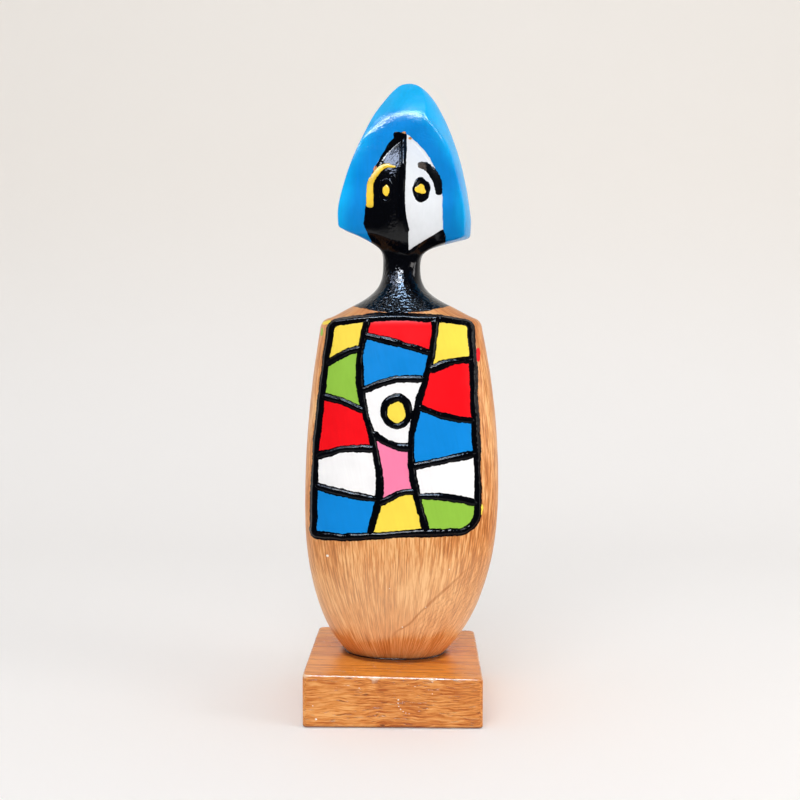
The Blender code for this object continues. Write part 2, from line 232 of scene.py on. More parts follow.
# Studio
FLOOR_GAP = 0.2 * MM
BACKDROP_FRONT = 1.2
BACKDROP_FLAT = 0.45
BACKDROP_BEND = 0.45
BACKDROP_WALL = 1.2
BACKDROP_SIDE = 1.8
BACKDROP_COLUMNS = 24
BACKDROP_ROWS = 80
WALL_TINT = (0.0, 0.5)
LIGHT_AIM = (0.0, 0.0, 0.20)
ROOM_COLOUR = (245, 243, 240)
ROOM_TURNS = (-0.1, 0.6)
ROOM_FLOOR = (0.62, 0.88)
LIGHTS = {
    "key_light": ((1.00, -0.42, 0.38), (0.34, 0.34), (255, 252, 249)),
    "front_light": ((-0.20, -1.10, 1.10), (0.90, 0.50), (255, 255, 255)),
}
# Bright shapes that only gloss sees
REFLECTIONS = {
    "right_light": ((0.95, -0.02, 0.42), (0.20, 0.70), (255, 255, 255)),
    "left_light": ((-0.80, 0.56, 0.35), (0.20, 0.70), (255, 255, 255)),
    "brow_strip": ((-0.14, -0.60, 1.08), (0.54, 0.22), (236, 244, 255)),
    "window": ((-0.60, -0.16, 1.12), (0.30, 0.50), (206, 222, 255)),
    "top_strip": ((0.02, -0.35, 1.20), (0.30, 0.22), (176, 214, 255)),
}

# Paint
WELD = 1e-6
FAR = 99.0
PAINT_ROOT = 0.35 * MM
LINE_SPACING = 0.6 * MM
LINE_STEPS = 14
FACE_LINE_SPACING = 0.4 * MM
LINE_BAND = 0.16 * MM
LINE_EDGE_ROUGHNESS = 0.16
LINE_SWELL = 0.30
LINE_WANDER = 6.0 * MM
LINE_LUMP = 0.20
LINE_SMALL_LUMP = 0.22
LINE_SWAY = 0.16
LOOK_FROM = -0.2
FACING_PATCH = 1.2 * MM
DAB_ROWS = 12
DAB_COLUMNS = 44
STROKE_DEPTH = 0.06 * MM

# Edges of the paint on the neck and the jaw, in mm
NECK_PAINT_LOW = 225.0
NECK_PAINT_RISE = 4.3
NECK_PAINT_REACH = 27.0
JAW_PAINT_REACH = 15.5

# Grain of the body, and how much each kind of grain counts
GRAIN_RADIUS = 46.0 * MM
FINE_GRAIN = 3.0
MIDDLE_GRAIN = 1.02
PATCH_GRAIN = 3.0
PORE_DARKENING = (0.35, 0.30, 0.30)

# Where marks in the finish, and the painted shade, start and where they are whole, as places on the finished
# figure in metres
PALE_ZONE_TOP = (0.110, 0.062)
PALE_ZONE_FOOT = (0.040, 0.050)
DARK_FOOT = (0.046, 0.037)
BODY_FRONT = (0.0, -0.010)
SLANT_SHARE = 0.71
SWIRL_TURN = math.radians(-38)
SWIRLS_UNDER = (-0.034, -0.028)
SWIRLS_ASIDE = (0.0, 0.020)
GROWTH_LINE = -0.0312
GROWTH_LINE_EDGE = (0.0009, 0.0002)
GROWTH_LINE_START = (-0.004, 0.006)
GROWTH_LINE_TOP = (0.092, 0.074)
# Painted shade: the hood's blue is made deeper towards its lower rim, where less light falls
HOOD_PAINTED_SHADE = (0.296, 0.258)
ARCH_HEIGHT = 0.326
ARCH_REACH = (0.014, 0.009)
BROW_WORN = (0.0185, 0.0145)
# Painted shade: the plinth is made darker along its bottom edge, where it meets the floor
BOTTOM_EDGE_SHADE = (0.0016, 0.0004)

# Where the black paint lies thickest, in the same way, with the places that it lies about
NECK_FOOT = (0.246, 0.236)
NECK_FRONT = (-0.002, -0.010)
UPPER_NECK = 0.250
UPPER_NECK_REACH = (0.0085, 0.0060)
UPPER_NECK_SIDES = (0.009, 0.005)
NOSE_SIDE = -0.0008
NOSE_SIDE_REACH = (0.0035, 0.0015)
NOSE_MIDDLE = 0.289
NOSE_MIDDLE_REACH = (0.021, 0.013)
HIGH_FACE = (0.298, 0.306)
HIGH_FACE_SHARE = 0.40
THIN_SHARE = 0.10
PEEL_HEIGHT = 5.2

# The same for the hood's paler blue, a painted light on its outer parts that face the light more, in mm from
# the face
PAINTED_LIGHT_HOOD = (4.0, 17.0)

# The same for the glue's stain and the painted contact shadow round the foot, as a share of the foot's radius
GLUE_STAIN_AND_SHADE = (1.16, 1.02)

# The face as seen from the front, in mm as (x, z)
FACE_OUTLINE = [
    (5.0, 326.5), (8.4, 324.6), (11.6, 321.8), (16.7, 316.4), (20.0, 311.6), (22.8, 306.0), (25.6, 298.5),
    (27.0, 289.9), (27.1, 279.5), (27.6, 272.0), (29.2, 268.5), (28.7, 262.0), (22.0, 252.0), (8.0, 246.0),
    (-6.0, 246.0), (-13.5, 254.0), (-13.2, 266.0), (-15.9, 272.0), (-17.3, 275.1), (-15.7, 286.4),
    (-14.8, 295.9), (-12.0, 303.8), (-8.8, 309.9), (-4.2, 318.9), (0.0, 323.7), (1.9, 326.2),
]
WHITE_EDGE = [(260.8, 8.2), (274.1, 8.1), (282.9, 5.8), (296.4, 6.5), (310.8, 6.9), (323.7, 7.2)]
WHITE_FOOT = [(8.2, 260.8), (20.1, 268.1), (27.5, 272.0)]
WHITE_FOOT_SLOPE = 0.86
NOSE_LINE = [(5.4, 322.6), (5.5, 310.7), (5.1, 300.0), (4.6, 291.8), (4.8, 282.9), (6.0, 276.3), (7.8, 270.5)]
NOSE_SECOND_LINE = [(3.3, 320.5), (3.4, 310.7), (3.0, 300.0), (2.6, 290.0), (2.8, 282.0), (3.8, 275.5)]
RIGHT_BROW = [
    (13.3, 306.9), (16.8, 307.2), (19.5, 305.5), (22.3, 302.3), (24.2, 298.2), (24.9, 294.0), (25.1, 290.7),
]
LEFT_BROW = [
    (1.1, 306.0), (-1.2, 306.4), (-3.1, 307.1), (-5.5, 306.8), (-8.3, 304.9), (-11.0, 301.5), (-12.9, 297.9),
    (-13.4, 293.6), (-13.4, 289.5), (-13.4, 285.8), (-13.6, 284.0),
]
NOSE_LINE_WIDTHS = [3.3, 3.3]
NOSE_SECOND_WIDTHS = [1.1, 1.1]
RIGHT_BROW_WIDTHS = [4.0, 5.2, 5.2, 4.2, 3.2]
LEFT_BROW_WIDTHS = [0.9, 2.6, 3.2, 3.0, 3.4, 4.2, 4.6]
LEFT_EYE = (-4.3, 293.0)
LEFT_EYE_REACH = (2.0, 3.0)
LEFT_EYE_RING = (3.5, 6.0)
EYE_RING_WIDTHS = [1.5, 1.5]
EYE_STEPS = 48
RIGHT_EYE = (15.4, 293.1)
RIGHT_EYE_REACH = (5.0, 6.9)
RIGHT_DAB = (14.7, 293.5)
RIGHT_DAB_REACH = (3.1, 2.8)
TOP_BLOTCH = (3.0, 324.6)
TOP_BLOTCH_REACH = (3.9, 1.8)
BARE_SPOT_SLOPE = 1.5
BARE_SPOTS = [((-10.4, 305.6), 1.1, 1.9), ((5.6, 325.9), 1.3, 0.8), ((9.0, 323.0), 1.0, 0.7)]

# Smears outside the panel as (colour, place, reach across, reach up, turn), in mm and degrees
SPILLS = [
    ("yellow", (-37.6, 219.8), 2.6, 1.3, 30), ("green", (-40.4, 214.6), 1.0, 1.9, 80),
    ("red", (46.9, 202.0), 1.5, 3.2, 90), ("yellow", (48.2, 116.5), 1.6, 2.6, 70),
]

# Pale specks as (x, z, reach), in mm
BODY_SPECKS = [
    (-36.4, 90.8, 0.75), (5.0, 49.8, 0.40), (-2.0, 73.0, 0.25), (18.0, 62.0, 0.25), (31.0, 84.0, 0.30),
]
PLINTH_SPECKS = [
    (3.2, 15.6, 0.42), (3.0, 13.8, 0.36), (3.4, 12.0, 0.32), (4.4, 10.4, 0.36), (5.8, 9.2, 0.30),
    (7.2, 8.4, 0.28), (9.0, 8.0, 0.24), (-41.5, 4.6, 0.60), (-43.2, 12.0, 0.30), (21.5, 19.0, 0.24),
    (-18.0, 22.0, 0.28),
]

# Plinth's finish
PLINTH_FRONT_CORNER = 2.6 * MM
PLINTH_BACK_CORNER = 3.6 * MM
PLINTH_CORNER_STEPS = 8
PLINTH_SIDE_STEPS = 34
PLINTH_EDGE_STEPS = 6
PLINTH_WALL_STEPS = 10
BROAD_WEAR = 17.0 * MM
FINE_WEAR = 4.5 * MM
PLINTH_FOOT_EDGE = 0.7
PLINTH_WALL_CLEARANCE = 1.4
PLINTH_FOOT_SHARES = (0.0, 0.35, 0.7)
PLINTH_TOP_SHARES = (0.97, 0.92, 0.84, 0.74, 0.62, 0.5, 0.36, 0.2, 0.0)
PLINTH_DENTS = [
    ((-9.5, -49.0, 26.0), 3.2, 0.9), ((-48.5, -48.5, 26.5), 3.0, 0.7), ((21.0, -49.0, 27.0), 2.0, 0.4),
]
DENT_WAY = (0, 0.8, -0.6)
DENT_WEAR = 1.3

# Glue
GLUE_STEPS = 220
GLUE_ROUND = 8
GLUE_WIDTH = 0.75 * MM
GLUE_HEIGHT = 0.55 * MM
GLUE_LUMP = 5.0 * MM
GLUE_SMALL_LUMP = 1.6 * MM


def tint(red, green, blue):
    """A colour from 0 to 255 a channel, as Blender's linear values."""
    return tuple(
        (value / 255 / 12.92) if value / 255 <= 0.04045 else ((value / 255 + 0.055) / 1.055) ** 2.4
        for value in (red, green, blue)
    )


def length_property(name, description, default_mm):
    return FloatProperty(
        name=name, description=description, default=default_mm * MM, min=0.0, precision=5,
        unit="LENGTH", subtype="DISTANCE",
    )


def brightness_property(name, description, default):
    return FloatProperty(name=name, description=description, default=default, min=0.0)


def colour_property(name, description, default):
    return FloatVectorProperty(
        name=name, description=description, default=default, min=0.0, max=1.0, size=3, subtype="COLOR",
    )


def power_property(name, description, default):
    return FloatProperty(name=name, description=description, default=default, min=0.0, unit="POWER")


class FigureSizes(bpy.types.PropertyGroup):
    """Sizes of the carving and of the paint on it."""

    belly_half_width: length_property("Belly half width", "Half the width of the body at its widest", 55.6)
    belly_half_depth: length_property("Belly half depth", "Half the depth of the body at its widest", 43.5)
    shoulder_half_width: length_property("Shoulder half width", "Half the width under the shoulders", 46.5)
    neck_radius: length_property("Neck radius", "Radius of the neck at its thinnest", 10.8)
    knife_waviness: length_property("Knife waviness", "How far the carved faces wander from true", 0.22)
    line_width: length_property("Line width", "Width of a black contour line", 5.0)
    line_height: length_property("Line height", "Height of the raised bead in a contour line", 0.85)
    skin_height: length_property("Skin height", "Thickness of the colours over the wood", 0.12)
    plinth_edge: length_property("Plinth edge", "Radius of the plinth's rounded edges", 1.3)


class FigureColours(bpy.types.PropertyGroup):
    """Colours of the wood and the paints."""

    blue: colour_property("Blue", "Hood and blue cells", tint(0, 139, 226))
    # Painted light: a paler blue laid on the hood's outer parts, which face the light more
    pale_blue: colour_property("Pale blue", "Outer parts of the hood", tint(0, 182, 252))
    black: colour_property("Black", "Neck, dark half of the face and contour lines", tint(5, 6, 11))
    white: colour_property("White", "Light half of the face", tint(232, 236, 241))
    cell_white: colour_property("Cell white", "White cells of the panel", tint(251, 251, 253))
    yellow: colour_property("Yellow", "Yellow cells of the panel", tint(255, 226, 80))
    deep_yellow: colour_property("Deep yellow", "Brow and eyes", tint(255, 212, 52))
    red: colour_property("Red", "Red cells", tint(250, 0, 18))
    green: colour_property("Green", "Green cells", tint(149, 201, 69))
    pink: colour_property("Pink", "Pink cell", tint(255, 134, 176))
    wood_light: colour_property("Light wood", "Pale streaks of the body", tint(250, 196, 134))
    wood_mid: colour_property("Wood", "The body's main colour", tint(224, 146, 78))
    wood_dark: colour_property("Dark wood", "Dark streaks of the body", tint(180, 102, 44))
    plinth_light: colour_property("Light plinth", "Pale streaks of the plinth", tint(248, 180, 108))
    plinth_mid: colour_property("Plinth", "The plinth's main colour", tint(228, 146, 72))
    plinth_dark: colour_property("Dark plinth", "Dark streaks of the plinth", tint(178, 92, 38))


class StudioSettings(bpy.types.PropertyGroup):
    """Light and backdrop."""

    backdrop: colour_property("Backdrop", "Colour of the floor and backdrop", tint(252, 251, 251))
    wall: colour_property("Wall", "Colour of the backdrop behind the figure", tint(244, 240, 235))
    key_light: power_property("Key light", "Power of the light low to the front right", 2.8)
    front_light: power_property("Front light", "Power of the broad light in front and above", 4.6)
    right_light: power_property("Right light", "Power of the light at the right side", 2.8)
    left_light: power_property("Left light", "Power of the light at the left side", 0.25)
    brow_strip: power_property("Brow strip", "Power of the strip mirrored along the brow", 30.0)
    window: power_property("Window", "Power of the window mirrored in the face", 12.5)
    top_strip: power_property("Top strip", "Power of the strip mirrored in the neck", 16.0)
    surround: brightness_property("Surround", "Brightness of the room's own light", 0.79)
    room_front: brightness_property("Room in front", "Brightness that gloss sees in front", 0.05)
    room_behind: brightness_property("Room behind", "Brightness that gloss sees behind", 0.80)
    room_below: brightness_property("Room below", "Brightness that gloss sees below", 1.6)


# Small helpers for shapes


def between(low, high, share):
    return low + (high - low) * share


def smooth_share(value, low, high):
    """0 below low, 1 above high, easing in between."""
    share = min(1.0, max(0.0, (value - low) / (high - low)))
    return share * share * (3 - 2 * share)


def curve(start, end, slope_in, slope_out, share):
    """A place on the smooth curve from start to end that leaves and arrives at the given slopes."""
    return (
        start * (2 * share**3 - 3 * share**2 + 1)
        + slope_in * (share**3 - 2 * share**2 + share)
        + end * (3 * share**2 - 2 * share**3)
        + slope_out * (share**3 - share**2)
    )


def within(value, rise, fall):
    """1 between a rise and a fall, each given as (start, end), and 0 outside them."""
    return smooth_share(value, *rise) * (1 - smooth_share(value, *fall))


def along(stations, height):
    """(side, front) in metres of a carved edge at a height, on a smooth curve through its stations."""
    points = [tuple(value * MM for value in station) for station in stations]
    height = min(max(height, points[0][0]), points[-1][0])
    index = max(i for i in range(len(points) - 1) if points[i][0] <= height)
    start, end = points[index], points[index + 1]
    before = points[max(index - 1, 0)]
    after = points[min(index + 2, len(points) - 1)]
    span = end[0] - start[0]
    share = (height - start[0]) / span
    found = []
    for axis in (1, 2):
        slope_in = (end[axis] - before[axis]) / (end[0] - before[0]) * span
        slope_out = (after[axis] - start[axis]) / (after[0] - start[0]) * span
        found.append(curve(start[axis], end[axis], slope_in, slope_out, share))
    return found


def evenly(values, share):
    """A smooth curve through evenly spaced values, read at a share of its length."""
    place = min(max(share, 0.0), 1.0) * (len(values) - 1)
    index = min(int(place), len(values) - 2)
    start, end = values[index], values[index + 1]
    before = values[max(index - 1, 0)]
    after = values[min(index + 2, len(values) - 1)]
    return curve(start, end, (end - before) / 2, (after - start) / 2, place - index)


def fair_path(points, spacing):
    """Points at an even spacing on a smooth curve through (x, z) points."""
    dense = []
    for index in range(len(points) - 1):
        before = Vector(points[max(index - 1, 0)])
        start, end = Vector(points[index]), Vector(points[index + 1])
        after = Vector(points[min(index + 2, len(points) - 1)])
        for step in range(CURVE_STEPS):
            dense.append(curve(start, end, (end - before) * 0.5, (after - start) * 0.5, step / CURVE_STEPS))
    dense.append(Vector(points[-1]))
    return even_path(dense, spacing)


def even_path(dense, spacing):
    """The same path with its points at an even spacing."""
    lengths = [0.0]
    for a, b in zip(dense, dense[1:]):
        lengths.append(lengths[-1] + (b - a).length)
    count = max(4, round(lengths[-1] / spacing))
    found = []
    index = 0
    for step in range(count + 1):
        goal = lengths[-1] * step / count
        while index < len(dense) - 2 and lengths[index + 1] < goal:
            index += 1
        span = lengths[index + 1] - lengths[index]
        part = (goal - lengths[index]) / span if span > 0 else 0.0
        found.append(dense[index].lerp(dense[index + 1], part))
    return found


def wrapped_grid(bm, rings):
    """A skin over closed rings of points: a grid whose first and last columns are merged."""
    around = len(rings[0])
    made = bmesh.ops.create_grid(bm, x_segments=around, y_segments=len(rings) - 1, size=1.0)["verts"]
    for index, vert in enumerate(made):
        row, column = divmod(index, around + 1)
        vert.co = rings[row][column % around]
    return made


def add_piece(name, bm, materials, smooth=True):
    """A finished mesh as an object that rides on the root body."""
    mesh = bpy.data.meshes.new(name)
    bm.to_mesh(mesh)
    bm.free()
    for material in materials:
        mesh.materials.append(material)
    if smooth:
        mesh.shade_smooth()
    piece = bpy.data.objects.new(name, mesh)
    bpy.context.scene.collection.objects.link(piece)
    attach(piece, "root")
    return piece


# The carved figure's form, row by row


def columns():
    """(edge index, share towards the next edge, side) of every column, from the front round to the right."""
    right = []
    for index, count in enumerate(FACES_BETWEEN):
        for step in range(count):
            even = step / count
            crowded = (1 - math.cos(math.pi * even)) / 2
            right.append((index, between(even, crowded, EDGE_CROWDING)))
    back = [(len(FACES_BETWEEN) - 1, 1.0, 1)]
    left = [(index, share, -1) for index, share in reversed(right[1:])]
    return [(index, share, 1) for index, share in right] + back + left


def column_angle(column):
    index, share, side = column
    return side * math.radians(between(EDGE_ANGLES[index], EDGE_ANGLES[index + 1], share))


def oval(angle, half_width, half_depth, squareness):
    """(x, y) on a rounded rectangle about the axis. The angle runs from the front to the right."""
    across = abs(math.sin(angle)) / half_width
    deep = abs(math.cos(angle)) / half_depth
    radius = (across**squareness + deep**squareness) ** (-1 / squareness)
    return radius * math.sin(angle), -radius * math.cos(angle)


def slope_start(sizes):
    """(height, half width) where the rounded shoulder meets the slope up to the neck."""
    height = SHOULDER_HEIGHT + SHOULDER_ROUND * SHOULDER_RISE_SHARE
    return height, sizes.shoulder_half_width - SHOULDER_ROUND * SHOULDER_IN_SHARE


def body_levels(sizes):
    """(height, half width) of every row from the foot to the thinnest point of the neck."""
    belly, shoulder = sizes.belly_half_width, sizes.shoulder_half_width
    fall = 1 - (FOOT_HALF_WIDTH / belly) ** (1 / FOOT_CURVE_ROOT)
    span = BELLY_HEIGHT / fall ** (1 / FOOT_CURVE_POWER)
    levels = []
    for row in range(FOOT_ROWS):
        height = BELLY_HEIGHT * row / FOOT_ROWS
        below = (BELLY_HEIGHT - height) / span
        levels.append((height, belly * (1 - below**FOOT_CURVE_POWER) ** FOOT_CURVE_ROOT))
    for row in range(BODY_ROWS):
        share = row / BODY_ROWS
        levels.append((between(BELLY_HEIGHT, SHOULDER_HEIGHT, share), belly - (belly - shoulder) * share**2))
    top = slope_start(sizes)
    for row in range(SHOULDER_ROWS + 1):
        turn = row / SHOULDER_ROWS * math.pi / 2
        height = between(SHOULDER_HEIGHT, top[0], math.sin(turn))
        levels.append((height, between(top[1], shoulder, math.cos(turn))))
    for row in range(1, SLOPE_ROWS):
        share = row / SLOPE_ROWS
        height = between(top[0], SLOPE_FOOT_HEIGHT, share)
        levels.append((height, between(top[1], SLOPE_FOOT_HALF_WIDTH, share)))
    for row in range(NECK_ROWS + 1):
        share = row / NECK_ROWS
        flare = (SLOPE_FOOT_HALF_WIDTH - sizes.neck_radius) * (1 - share) ** NECK_FLARE_POWER
        levels.append((between(SLOPE_FOOT_HEIGHT, NECK_HEIGHT, share), sizes.neck_radius + flare))
    return levels


def body_ring(sizes, height, half_width, angles):
    """Points of one level row of the body, the shoulder or the neck."""
    above_foot = smooth_share(height, 0, BELLY_HEIGHT * FOOT_BLEND)
    up_neck = smooth_share(height, SHOULDER_HEIGHT, between(SLOPE_FOOT_HEIGHT, NECK_HEIGHT, NECK_BLEND))
    depth_share = between(FOOT_DEPTH_SHARE, sizes.belly_half_depth / sizes.belly_half_width, above_foot)
    slope_height, slope_width = slope_start(sizes)
    if height > slope_height:
        rise = min(1.0, (height - slope_height) / (NECK_HEIGHT - slope_height))
        depth = between(sizes.neck_radius, slope_width * depth_share, (1 - rise) ** NECK_DEPTH_POWER)
        depth_share = depth / half_width
    squareness = between(FOOT_SQUARENESS, BODY_SQUARENESS, above_foot)
    squareness = between(squareness, 2.0, up_neck)
    at_shoulder = smooth_share(height, BELLY_HEIGHT, SHOULDER_HEIGHT)
    drift = BELLY_DRIFT * math.sin(math.pi * min(1.0, height / SHOULDER_HEIGHT))
    shift = drift + NECK_SIDE_SHIFT * smooth_share(height, SHOULDER_HEIGHT, NECK_HEIGHT)
    ring = []
    for angle in angles:
        x, y = oval(angle, half_width, half_width * depth_share, squareness)
        drop = LEFT_SHOULDER_DROP * at_shoulder * smooth_share(-x, 0, sizes.shoulder_half_width)
        ring.append(Vector((x + shift, y, height - drop)))
    return ring


def ogive(height, low):
    """The hood's outline as a share of its widest, from low up to its rounded top."""
    share = min(1.0, max(0.0, (height - low) / (HEAD_TOP - low)))
    power, root = HOOD_CURVE
    return (1 - share**power) ** root


def hood_side(height, side):
    """(side, front) of the hood's outer side at a height."""
    widest = HOOD_RIGHT_HALF_WIDTH if side > 0 else HOOD_LEFT_HALF_WIDTH
    tuck = HOOD_TUCK * max(0.0, 1 - height / HOOD_WIDEST) ** 2
    return widest * (ogive(height, HOOD_WIDEST) - tuck), -HOOD_SIDE_BACK * ogive(height, HOOD_WIDEST)


def hood_back(height):
    """Depth of the hood's back at a height."""
    share = min(1.0, max(0.0, (height - HOOD_BACK_RIM) / (HEAD_TOP - HOOD_BACK_RIM)))
    power, root = HOOD_BACK_CURVE
    return HOOD_BACK_DEPTH * (1 - share**power) ** root


def face_side(height):
    """(side, front) of the valley between face and hood, an arch that closes at the face's top."""
    share = min(1.0, max(0.0, (height - FACE_FOOT) / (FACE_TOP - FACE_FOOT)))
    power, root = FACE_CURVE
    half_width = max(FACE_TOP_HALF_WIDTH, FACE_HALF_WIDTH * (1 - share**power) ** root)
    return [half_width, along(FACE_SIDE_DEPTHS, height)[1]]


def head_edges(section, share, side):
    """The five carved edges at one row of the head, as points, on one side of the face.

    The section is "rim", "face" or "crown", and share runs from its lowest row to its highest.
    """
    hood_edge = RIGHT_HOOD_EDGE if side > 0 else LEFT_HOOD_EDGE
    crown_edge = RIGHT_CROWN_EDGE if side > 0 else LEFT_CROWN_EDGE
    arch = hood_edge[-1][0] * MM
    brow_front = CROWN_LINE[0][0] * MM
    brow_side = between(brow_front, arch, BROW_SHARE**2)
    side_rim = HOOD_RIGHT_RIM if side > 0 else HOOD_LEFT_RIM
    lows = [CHIN_HEIGHT, FACE_FOOT, hood_edge[0][0] * MM, side_rim, HOOD_BACK_RIM]
    highs = [brow_front, brow_side, arch, arch, between(brow_front, arch, 0.5)]
    if section == "crown":
        heights = [between(high, HEAD_TOP, share) for high in highs]
    elif section == "rim":
        heights = [low + HOOD_RIM_ROUND * share for low in lows]
    else:
        heights = [between(low + HOOD_RIM_ROUND, high, share) for low, high in zip(lows, highs)]
    nose = along(CROWN_LINE if section == "crown" or heights[0] > brow_front else NOSE_EDGE, heights[0])
    ridge = along(crown_edge if section == "crown" else hood_edge, heights[2])
    nose[0] *= side
    if section == "crown":
        valley = [between(nose[axis], ridge[axis], BROW_SHARE) for axis in (0, 1)]
    else:
        valley = face_side(heights[1])
    if section == "face" and heights[0] > FACE_TOP:
        rise = (heights[0] - FACE_TOP) / (brow_front - FACE_TOP)
        low, high = along(NOSE_EDGE, FACE_TOP), along(CROWN_LINE, brow_front)
        nose = [between(low[0], high[0], rise) * side, between(low[1], high[1], rise)]
    if section == "face" and heights[1] > FACE_TOP:
        rise = (heights[1] - FACE_TOP) / (highs[1] - FACE_TOP)
        brow, corner = along(CROWN_LINE, brow_front), along(crown_edge, arch)
        valley[0] = between(valley[0], between(brow[0] * side, corner[0], BROW_SHARE), rise)
        valley[1] = between(valley[1], between(brow[1], corner[1], BROW_SHARE), rise)
    outer = hood_side(heights[3], side)
    edges = [nose, valley, ridge, outer, (0.0, -hood_back(heights[4]))]
    return [Vector((side * edge[0], -edge[1], height)) for edge, height in zip(edges, heights)]


def arch_lift(edges, index, step):
    """How far the brow's arch stands above the straight line between two carved edges."""
    ends = [0.0, BROW_SHARE, 1.0]
    across = between(ends[index], ends[index + 1], step)
    straight = between(ends[index] ** 2, ends[index + 1] ** 2, step)
    return (edges[2].z - edges[0].z) * (across**2 - straight)


def head_ring(section, share):
    """Points of one row of the head, relative to the thinnest point of the neck."""
    rounding = HOOD_RIM_ROUND * (1 - math.sqrt(1 - (1 - share) ** 2)) if section == "rim" else 0.0
    brow_weight = {"rim": 0.0, "face": share**3, "crown": 1 - share}[section]
    both = {side: head_edges(section, share, side) for side in (1, -1)}
    ring = []
    for index, step, side in columns():
        start, end = both[side][index], both[side][index + 1]
        point = start.lerp(end, step)
        if index < 2:
            point.z += arch_lift(both[side], index, step) * brow_weight
        elif index == 2:
            point.x = between(start.x, end.x, 1 - (1 - step) ** 2)
        else:
            turn = step * math.pi / 2
            point.x = start.x * math.cos(turn) ** HOOD_BACK_FULLNESS
            point.y = between(start.y, end.y, math.sin(turn) ** HOOD_BACK_FULLNESS)
        flat = Vector((point.x, point.y, 0))
        if rounding and flat.length > 0:
            point -= flat.normalized() * rounding * smooth_share(index + step, *HOOD_RIM_ROUNDED)
        ring.append(point)
    return ring


def jaw_ring(share, neck_points, rim_points):
    """Points of one row of the hollow sweep from the neck out to the hood's rim and the chin."""
    ring = []
    for low, high in zip(neck_points, rim_points):
        rise = high.z - low.z
        first = low + Vector((0, 0, JAW_RISE * rise))
        second = Vector((low.x * JAW_SPREAD, low.y * JAW_SPREAD, low.z + JAW_SPREAD_RISE * rise))
        ring.append(
            low * (1 - share) ** 3
            + first * 3 * share * (1 - share) ** 2
            + second * 3 * share**2 * (1 - share)
            + high * share**3
        )
    return ring


def lean_matrix():
    """Turns and moves the figure from its own upright axes to its seat on the sloping plinth."""
    lean = math.atan2(TOP_FALL, PLINTH_SIDE)
    seat = PLINTH_HIGH.z - TOP_FALL / 2 + SEAT_CLEARANCE
    return Matrix.Translation((0, FIGURE_BACK_SHIFT, seat)) @ Matrix.Rotation(lean, 4, "Y")


def figure_rows(sizes):
    """(level, ring of points) of every row of the figure, from its flat foot to the top of the hood."""
    angles = [column_angle(column) for column in columns()]
    rows = [
        (height / NECK_HEIGHT * NECK_LEVEL, body_ring(sizes, height, half_width, angles))
        for height, half_width in body_levels(sizes)
    ]
    neck_ring = rows[-1][1]
    middle = sum(neck_ring, Vector()) / len(neck_ring)
    neck_centre = Vector((middle.x, 0, NECK_HEIGHT))
    neck_points = [point - neck_centre for point in neck_ring]
    rim_points = head_ring("rim", 0)
    head = []
    for row in range(1, JAW_ROWS):
        share = row / JAW_ROWS
        head.append((between(NECK_LEVEL, RIM_LEVEL, share), jaw_ring(share, neck_points, rim_points)))
    for row in range(RIM_ROWS):
        share = row / RIM_ROWS
        head.append((between(RIM_LEVEL, FACE_LEVEL, share), head_ring("rim", share)))
    for row in range(FACE_ROWS):
        share = row / FACE_ROWS
        head.append((between(FACE_LEVEL, BROW_LEVEL, share), head_ring("face", share)))
    for row in range(CROWN_ROWS):
        share = 1 - (1 - row / CROWN_ROWS) ** CROWN_CROWDING
        head.append((between(BROW_LEVEL, TOP_LEVEL, share), head_ring("crown", share)))
    roll = Matrix.Rotation(HEAD_ROLL, 3, "Y")
    rows += [(level, [neck_centre + roll @ point for point in ring]) for level, ring in head]
    top = neck_centre + roll @ Vector((0, 0, HEAD_TOP))
    rows.append((TOP_LEVEL, [top] * len(angles)))
    return rows


def knife_marks(point, amount):
    """A small wandering of the carved surface, as a move outwards."""
    broad = noise.noise(point / BROAD_KNIFE_MARKS)
    fine = noise.noise(point / FINE_KNIFE_MARKS + Vector((7.0, 3.0, 5.0)))
    return amount * (broad + FINE_KNIFE_SHARE * fine)


def soften(bm, shares, passes):
    """Rounds the carved edges: every point takes part in its own share of the passes."""
    for step in range(passes):
        verts = [vert for vert, share in shares.items() if share * passes > step]
        bmesh.ops.smooth_vert(bm, verts=verts, factor=0.5, use_axis_x=True, use_axis_y=True, use_axis_z=True)


def reach(place, outline):
    """How far a point lies inside a closed outline, below zero outside it."""
    nearest = math.inf
    inside = False
    for (ax, az), (bx, bz) in zip(outline, outline[1:] + outline[:1]):
        run_x, run_z = bx - ax, bz - az
        share = ((place[0] - ax) * run_x + (place[1] - az) * run_z) / (run_x * run_x + run_z * run_z)
        share = min(1.0, max(0.0, share))
        nearest = min(nearest, math.hypot(place[0] - ax - share * run_x, place[1] - az - share * run_z))
        if (az > place[1]) != (bz > place[1]) and place[0] < ax + (place[1] - az) * run_x / run_z:
            inside = not inside
    return nearest if inside else -nearest


def line_value(line, place):
    """The second value of a line of points, read at a place along its rising first value."""
    place = min(max(place, line[0][0]), line[-1][0])
    for (a, low), (b, high) in zip(line, line[1:]):
        if place <= b:
            return between(low, high, (place - a) / (b - a))
    return line[-1][1]


